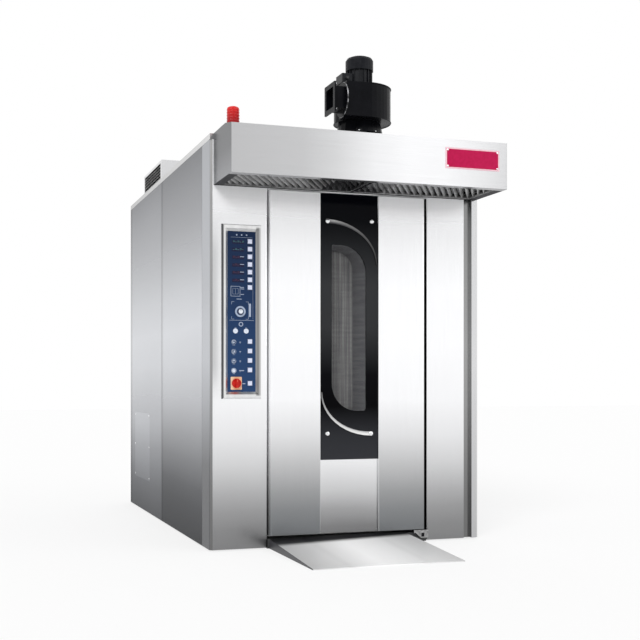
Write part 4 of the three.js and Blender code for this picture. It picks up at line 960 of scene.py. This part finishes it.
mottled("red knob", (60.0, 4.0), (0.42, 0.008, 0.004), (0.62, 0.020, 0.012), 0.28, 0.25,
        Specular_IOR_Level=0.25).give("main_switch")


def ink(name, dark, pale):
    return mottled(name, (300.0, 2.0), dark, pale, 0.4, 0.2, (200.0, 2.0))


print_ink = ink("pale print", (0.30, 0.36, 0.48), (0.40, 0.46, 0.58))
white_ink = ink("white print", (0.62, 0.68, 0.80), (0.74, 0.79, 0.88))
key_rim = ink("key rim", (0.20, 0.24, 0.36), (0.28, 0.32, 0.44))
knob_mark = ink("knob mark", (0.72, 0.10, 0.05), (0.86, 0.20, 0.12))
dark_window = mottled("dark display", (300.0, 2.0), (0.012, 0.012, 0.038), (0.020, 0.020, 0.052), 0.15, 0.1,
                      (90.0, 2.0), Specular_IOR_Level=0.12)


def on_panel(x, z, lift=0.0):
    """A point on the film, in millimetres from the centre of the panel."""
    return Vector((panel_x + x / 1000, film_y - lift, panel_z + z / 1000))


def strip(shape, x, z, half_x, half_z, lift=0.0005, sink=0.0001):
    """A printed bar by its middle and half its size, also in millimetres."""
    low = on_panel(x - half_x, z - half_z)
    high = on_panel(x + half_x, z + half_z)
    add_box(shape, (low.x, film_y - lift, low.z), (high.x, film_y + sink, high.z))


def outline(shape, x, z, half_x, half_z, line):
    """Four bars round a rectangle."""
    for side in (-1, 1):
        strip(shape, x + side * half_x, z, line, half_z + line)
        strip(shape, x, z + side * half_z, half_x - line, line)


def ring(shape, x, z, radius, line, sides=32, start=0.0, sweep=1.0):
    """A printed ring, or an arc of it: start and sweep are shares of a full turn."""
    steps = max(4, int(sides * sweep))
    rows = []
    for i in range(steps + (sweep < 1)):
        turn = 2 * math.pi * (start + sweep * i / steps)
        rows.append([shape.verts.new(on_panel(x + r * math.cos(turn), z + r * math.sin(turn), lift))
                     for r, lift in ((radius - line, 0.0005), (radius + line, 0.0005),
                                     (radius + line, -0.0001), (radius - line, -0.0001))])
    if sweep < 1:
        join_rows(shape, rows)
        close_ends(shape, rows)
    else:
        join_rows(shape, rows + rows[:1])


def row_height(row):
    """The height of a row of displays, counted from the top."""
    return 368 - 40.7 * row


icon_x, icon_rows = -43, (-162, -212, -262)


def fine_print(shape):
    """Thin frames, lines and rings beside the displays, the dial and the keys."""
    for row in range(2, 7):
        strip(shape, 2, row_height(row) + 4, 11, 1.6)
    for x, z, half_x, half_z in (
        (0, 393, 60, 0.5), (4, 120, 9, 1.6), (4, 91, 9, 1.6), (-14, 66, 14, 1.6), (0, -46.5, 68, 0.8),
        (0, -313, 13, 2.2), (12, -382, 8, 2.4), (45, 8, 6.0, 35), (-34, 107, 0.5, 14), (62, 150, 0.4, 190),
        (-34, -86, 5, 0.9), (25, -86, 5, 0.9),
    ):
        strip(shape, x, z, half_x, half_z)
    outline(shape, -34, 107, 25, 26, 1.0)
    outline(shape, -34, 107, 15, 15, 0.5)
    for x, inward in ((-55, 7), (37, -7)):
        for z, upward in ((52, -7), (-40, 7)):
            strip(shape, x + inward, z, 7, 0.8)
            strip(shape, x, z + upward, 0.8, 7)
    ring(shape, -4, -67, 10, 2.2)
    ring(shape, -8, 0, 27.5, 2.2, 40)
    ring(shape, icon_x, -313, 12, 2.0)
    for z in icon_rows:
        ring(shape, icon_x, z, 12, 0.8, 28)
        ring(shape, icon_x, z, 7, 0.9, 20, 0.1, 0.6)
        ring(shape, icon_x, z, 2.6, 0.9, 12)
        strip(shape, -8, z, 4, 2.0)
    for z in (*icon_rows, -313):
        strip(shape, icon_x, z - 17, 6, 0.8)
        strip(shape, -8, z - 6, 2.5, 0.8)


def bright_print(shape):
    """White arcs and rings inside the icons."""
    for z, start in zip(icon_rows, (0.05, 0.30, 0.55)):
        ring(shape, icon_x, z, 11, 1.3, 24, start, 0.45)
        ring(shape, icon_x, z, 5, 1.2, 16, start + 0.4, 0.5)
    ring(shape, icon_x, -313, 5, 4.0, 24)
    for x in (-34, 25):
        for radius in (3.0, 7.2, 11.4):
            ring(shape, x, -103, radius, 2.0, 24)


mesh_piece("panel_print", "cabinet", fine_print, print_ink)
mesh_piece("panel_bright_print", "cabinet", bright_print, white_ink)


def display_windows(shape):
    for row in range(6):
        strip(shape, -20, row_height(row), 32, 9, 0.0004)


mesh_piece("panel_displays", "cabinet", display_windows, dark_window)

for name, slot, rows, spots, colour, strength in (
    ("green", "white_key", (0, 1), 5, (0.06, 0.24, 0.25), 0.12),
    ("red", "red_plastic", (2, 3, 4, 5), 3, (0.085, 0.010, 0.045), 0.10),
):
    def segments(shape):
        """Short level and upright bars, as a display shows while it waits."""
        lift = 0.0008
        for row in rows:
            z = row_height(row)
            for place in range(spots):
                x = -44 + 12.5 * place
                strip(shape, x, z, 3.4, 0.9, lift)
                if place % 2 == row % 2:
                    strip(shape, x + 4.6, z + 3.0, 0.8, 2.2, lift)
                    strip(shape, x, z + 5.8, 3.4, 0.8, lift)

    lit = Finish(name + " segments", Roughness=0.25, Coat_Weight=0.4, Emission_Strength=strength)
    glow = lit.shade(lit.noise(500.0, 2.0), [(0.3, tuple(0.75 * c for c in colour)), (0.7, colour)])
    lit.set(Base_Color=glow, Emission_Color=glow)
    mesh_piece("panel_" + name + "_segments", "cabinet", segments, lit)

small_lamp = [(0, -0.0001), (0.0042, -0.0001), (0.0042, 0.0010), (0.0030, 0.0018), (0, 0.0020)]
turned_piece("panel_lamps", "cabinet", print_ink, small_lamp,
             [on_panel(x, 406) for x in (-27, 0, 27)], "Y", 16)

for key in keys:
    centre = middle_of(key)

    def key_face(shape):
        """A shallow raised frame on the cap."""
        x, z, half, line = centre.x, centre.z, 0.0118, 0.0008
        front, back = key_front - 0.0004, key_front + 0.0002
        for side in (-half, half):
            add_box(shape, (x + side - line, front, z - half), (x + side + line, back, z + half))
            add_box(shape, (x - half + line, front, z + side - line), (x + half - line, back, z + side + line))

    mesh_piece(key + "_frame", key, key_face, key_rim)

for turning, slot, finish, half, proud, start, end in (
    ("timer_dial", "white_key", dark_window, 0.0012, 0.0006, 0.002, 0.013),
    ("main_switch", "red_plastic", knob_mark, 0.0010, 0.0005, 0.006, 0.020),
):
    centre, front = middle_of(turning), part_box(turning)[0].y
    block_piece(turning + "_pointer", turning, finish, (centre.x - half, front - proud, centre.z + start),
                (centre.x + half, front + 0.0004, centre.z + end), 0.0002)


# ---------------------------------------------------------------- door
# The leaf is filled with wool behind a stainless skin. Two folded covers stand proud of a pane of
# black glass, which is left clear in a leaf-shaped window, and two bright crescents trim it.

# Tones of painted reflection by height, for the door covers; the leaf's own list follows below.
DOOR_PAINTED_REFLECTION = list(zip(FRONT_HEIGHTS, (
    (0.165, 0.172, 0.179), (0.188, 0.196, 0.204), (0.245, 0.252, 0.260), (0.340, 0.346, 0.352), 0.550, 0.765, 0.965,
    1.0, 0.99, 0.925, 0.860, 0.830, 0.93, 1.0, 1.0)))
leaf_sheet = brushed_sheet("door leaf sheet", [
    (0.0, 0.215), (0.045, 0.233), (0.09, 0.371), (0.136, 0.593), (0.205, 0.843), (0.30, 0.90), (1.0, 0.92)])
leaf_low, leaf_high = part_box("door_panel")
leaf_sheet.set(Metallic=leaf_sheet.past("x", leaf_low.x, 0.0003, 0.0012))
coat(leaf_sheet, "door_panel")
for side in ("left", "right"):
    low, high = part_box("door_cover_" + side)
    sheet = brushed_sheet("door cover sheet " + side, DOOR_PAINTED_REFLECTION, metal=FRONT_METAL)
    inner_x = high.x if side == "left" else low.x
    # A pale painted highlight along each cover's inner edge.
    rim = 1 - sheet.ease(abs(sheet.x - inner_x), 0.0010, 0.0050)
    sheet.cover(0.45 * rim, (0.93, 0.93, 0.94))
    if side == "left":
        sheet.set(Metallic=sheet.metal * sheet.past("x", low.x, 0.0003, 0.0012))
    else:
        # Painted shade along the right cover's right edge, beside the hinge column.
        sheet.cover(sheet.past("x", high.x, -0.0075, -0.0035), (0.02, 0.02, 0.022))
    coat(sheet, "door_cover_" + side)

glass_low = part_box("door_glass")[0]
glass_x = middle_of("door_glass").x
window_z = 1.188
glass_height = 1.451

# The outer glass is printed black but for a window with two wide and two tight corners.
black_glass = Finish("printed black glass", Specular_IOR_Level=0.04)
half_x, half_z, turn_radius = 0.101, 0.455, 0.150
u = black_glass.x - glass_x
v = black_glass.z - window_z


def leaf_corner(side):
    """Distance outside one of the two rounded corners: above 0 is outside the clear window."""
    cu = black_glass.math("MAXIMUM", side * u - (half_x - turn_radius), 0.0)
    cv = black_glass.math("MAXIMUM", side * v - (half_z - turn_radius), 0.0)
    return black_glass.math("SQRT", cu * cu + cv * cv) - turn_radius


edges = black_glass.math("MAXIMUM", abs(u) - half_x, abs(v) - half_z)
corners = black_glass.math("MAXIMUM", leaf_corner(1.0), leaf_corner(-1.0))
outside = black_glass.math("MAXIMUM", corners, edges)
printed = black_glass.ease(outside, -0.0012, 0.0006)
haze = black_glass.noise(3.0, 4.0)
# The printed black holds painted reflection bands by height.
painted_glass_reflection = black_glass.shade((black_glass.z - glass_low.z) / glass_height, [
    (0.0, (0.033, 0.034, 0.039)), (0.09, (0.026, 0.027, 0.031)), (0.20, (0.001, 0.001, 0.0015)),
    (0.32, (0.002, 0.002, 0.003)), (0.50, (0.031, 0.032, 0.034)), (0.66, (0.034, 0.035, 0.037)),
    (0.80, (0.018, 0.019, 0.021)), (0.90, (0.003, 0.0034, 0.005)), (1.0, (0.002, 0.0022, 0.004))])
black_glass.set(
    Base_Color=black_glass.blend(printed, (0.020, 0.022, 0.024), painted_glass_reflection),
    Roughness=0.05 + 0.06 * haze,
    Alpha=0.14 + 0.86 * printed)
black_glass.give("door_glass")

clear_glass = Finish("hazy inner glass", Specular_IOR_Level=0.10)
wiped_down = clear_glass.noise(1.0, 3.0, (85, 1, 1.6))
tray_lines = clear_glass.noise(1.0, 3.0, (6, 1, 75))
smoke = 0.72 * wiped_down + 0.28 * tray_lines
clear_glass.set(
    Base_Color=clear_glass.shade(smoke, [(0.36, (0.20, 0.20, 0.204)), (0.52, (0.295, 0.293, 0.292)),
                                         (0.64, (0.41, 0.407, 0.402))]),
    Roughness=0.20 + 0.2 * wiped_down,
    Alpha=0.80 + 0.20 * wiped_down)
clear_glass.give("door_inner_glass")

sleeve_steel = Finish("window liner steel", Metallic=0.35, Specular_IOR_Level=0.1)
dulled = sleeve_steel.noise(1.0, 3.0, (14, 1, 55))
sleeve_steel.set(Base_Color=sleeve_steel.shade(dulled, [(0.35, (0.175, 0.175, 0.184)), (0.65, (0.235, 0.235, 0.246))]),
                 Roughness=0.45 + 0.2 * dulled)


def round_corners(left, right, bottom, top, wide, tight, steps):
    """The way round a rectangle with two wide and two tight corners: for each step round a
    corner its centre, the direction out from it and its radius."""
    for x, z, radius, start in ((right - wide, top - wide, wide, 0), (left + tight, top - tight, tight, 90),
                                (left + wide, bottom + wide, wide, 180), (right - tight, bottom + tight, tight, 270)):
        for step in range(steps + 1):
            turn = math.radians(start + 90 * step / steps)
            yield Vector((x, 0, z)), Vector((math.cos(turn), 0, math.sin(turn))), radius


def window_liner(shape):
    """A tapered sleeve of sheet that joins the window's outline to a smaller opening behind it."""
    rows = []
    for y, *edge in (
        (-1.2165, -0.1005, 0.1005, -0.4545, 0.4545, 0.1495, 0.0155),
        (-1.2165, -0.0990, 0.0990, -0.4530, 0.4530, 0.1480, 0.0140),
        (-1.1390, -0.0765, 0.0535, -0.4500, 0.4290, 0.1060, 0.0140),
        (-1.1390, -0.0780, 0.0550, -0.4515, 0.4305, 0.1075, 0.0155),
    ):
        rows.append([shape.verts.new(Vector((glass_x, y, window_z)) + centre + out * radius)
                     for centre, out, radius in round_corners(*edge, 12)])
    join_rows(shape, rows + rows[:1])


mesh_piece("window_liner", "door", window_liner, sleeve_steel)

# The crescents have painted shade along the inner side of their arc, and a painted reflection that
# grows darker with their height.
arc_centre, arc_radii = (0.127, 0.352), (0.288, 0.228)
crescent_steel = Finish("crescent steel", Metallic=1.0)
worn_bright = crescent_steel.noise(30.0, 4.0)
upper = crescent_steel.past("z", window_z, -0.01, 0.01)
arc_x = (crescent_steel.x - glass_x + arc_centre[0] * (2 * upper - 1)) / arc_radii[0]
arc_z = (crescent_steel.z - window_z - arc_centre[1] * (2 * upper - 1)) / arc_radii[1]
arc = crescent_steel.math("SQRT", arc_x * arc_x + arc_z * arc_z)
painted_shade = (1 - crescent_steel.ease(arc, 0.965, 1.005)) * (0.35 + 0.55 * upper)
# A painted reflection tone that follows height along the crescents.
along = crescent_steel.shade(crescent_steel.z / CABINET_HEIGHT + 0.01 * (worn_bright - 0.5), [
    (0.272, 0.88), (0.285, 0.78), (0.31, 0.66), (0.345, 0.38), (0.38, 0.18), (0.69, 0.03), (0.73, 0.06),
    (0.77, 0.10), (0.797, 0.17), (0.804, 0.26), (0.812, 0.48)])
crescent_steel.set(
    Base_Color=crescent_steel.blend(painted_shade, along, (0.05, 0.05, 0.055)),
    Roughness=0.18 + 0.14 * worn_bright)
crescent_steel.give("glass_trim_upper", "glass_trim_lower")

# The two caps that stand alone, upper right and lower left of the window, and the domes on the
# thick ends of the crescents.
cap = [(0, -0.0008), (0.0125, -0.0008), (0.0125, 0.0042), (0.0105, 0.0068), (0.006, 0.0080), (0, 0.0083)]
turned_piece("glass_caps", "door", polished, cap,
             [(0.1305, glass_low.y, 1.778), (-0.1300, glass_low.y, 0.6105)], "Y")
dome = [(0, -0.002), (0.0118, -0.002), (0.0118, 0.0003), (0.0095, 0.0022), (0.005, 0.0034), (0, 0.0037)]
turned_piece("glass_trim_domes", "door", polished, dome,
             [(glass_x - side * 0.127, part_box("glass_trim_" + trim)[0].y, window_z + side * 0.580)
              for trim, side in (("upper", 1), ("lower", -1))], "Y")

rubber = mottled("silicone rubber", (40.0, 4.0), (0.010, 0.010, 0.010), (0.026, 0.025, 0.024), 0.55, 0.25)
rubber.bump(rubber.noise(300.0, 2.0), 0.2, 0.0003)


def gasket_seal(shape):
    """A bulb on a flat foot, swept round the leaf with rounded corners."""
    low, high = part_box("door_gasket")
    wide, foot = 0.022, 0.0032
    section = [(0.0, 0.0), (wide, 0.0), (wide, 0.0025), (wide * 0.82, foot)]
    section += [(wide * (0.5 + 0.34 * math.cos(a)), foot + (high.y - low.y - 0.0034) * max(0.0, math.sin(a)) ** 0.8)
                for a in (math.pi * k / 8 for k in range(9))]
    section += [(wide * 0.18, foot), (0.0, 0.0025)]
    corner = 0.024
    rows = [[shape.verts.new(centre + out * (radius - a) + Vector((0, low.y + b, 0))) for a, b in section]
            for centre, out, radius in round_corners(low.x, high.x, low.z, high.z, corner, corner, 6)]
    join_rows(shape, rows + rows[:1])


seal = mesh_piece("door_seal", "door", gasket_seal, rubber)
for face in seal.data.polygons:
    face.use_smooth = True
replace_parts(seal, "door_gasket")

# Heads on the inner face of the leaf that hold its skin.
head = [(0, 0.001), (0.006, 0.001), (0.006, -0.0008), (0.004, -0.0024), (0, -0.0028)]
turned_piece("door_leaf_screws", "door", polished, head,
             [(x, leaf_high.y, z) for x in (leaf_low.x + 0.085, leaf_high.x - 0.085)
              for z in spaced(leaf_low.z, leaf_high.z, 0.12, 7)], "Y", 12)


# ---------------------------------------------------------------- ramp
# A loose ramp of bent stainless sheet, with a painted highlight brightest in the middle. Trolley wheels
# have rubbed two faint tracks on it. Its rear edge holds a painted shadow of the door, and its side
# flanks hold painted shade.

ramp_low, ramp_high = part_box("ramp")
ramp_sheet = Finish("ramp sheet", Specular_IOR_Level=0.1)
ramp_length, ramp_width = 0.7, 0.8
run = (ramp_sheet.y - ramp_low.y) / ramp_length
across = (ramp_sheet.x - ramp_low.x) / ramp_width
hairs = ramp_sheet.noise(1.0, 4.0, (180, 5, 180))
painted_sheen_and_tracks = ramp_sheet.shade(across + 0.04 * (hairs - 0.5), [
    (0.0, 0.60), (0.25, 0.80), (0.46, 1.0), (0.66, 0.88), (1.0, 0.66)])
track = 1 - (ramp_sheet.ease(abs(across - 0.24), 0.0, 0.05) * ramp_sheet.ease(abs(across - 0.76), 0.0, 0.05))
painted_sheen_and_tracks = ramp_sheet.blend(0.10 * track, painted_sheen_and_tracks, (0.42, 0.42, 0.42))
# A painted shadow of the door across the rear edge, reaching further on the left.
shadow = ramp_sheet.ease(run + 0.17 * (1 - across), 0.88, 1.0)
# Dark paint on the side flanks, as painted shade.
between = ramp_sheet.within(ramp_sheet.x, (ramp_low.x + 0.0002, ramp_low.x + 0.0020),
                            (ramp_high.x - 0.0020, ramp_high.x - 0.0002))
top = ramp_sheet.blend(shadow, painted_sheen_and_tracks, (0.015, 0.015, 0.017))
ramp_sheet.set(
    Base_Color=ramp_sheet.blend(between, (0.07, 0.07, 0.075), top),
    Metallic=ramp_sheet.shade(across, [
        (0.0, 0.25), (0.25, 0.18), (0.42, 0.0), (0.64, 0.0), (0.82, 0.20), (1.0, 0.25)]),
    Roughness=0.26 + 0.14 * hairs + 0.1 * track)
ramp_sheet.bump(hairs, 0.04, 0.0003)
ramp_sheet.give("ramp")
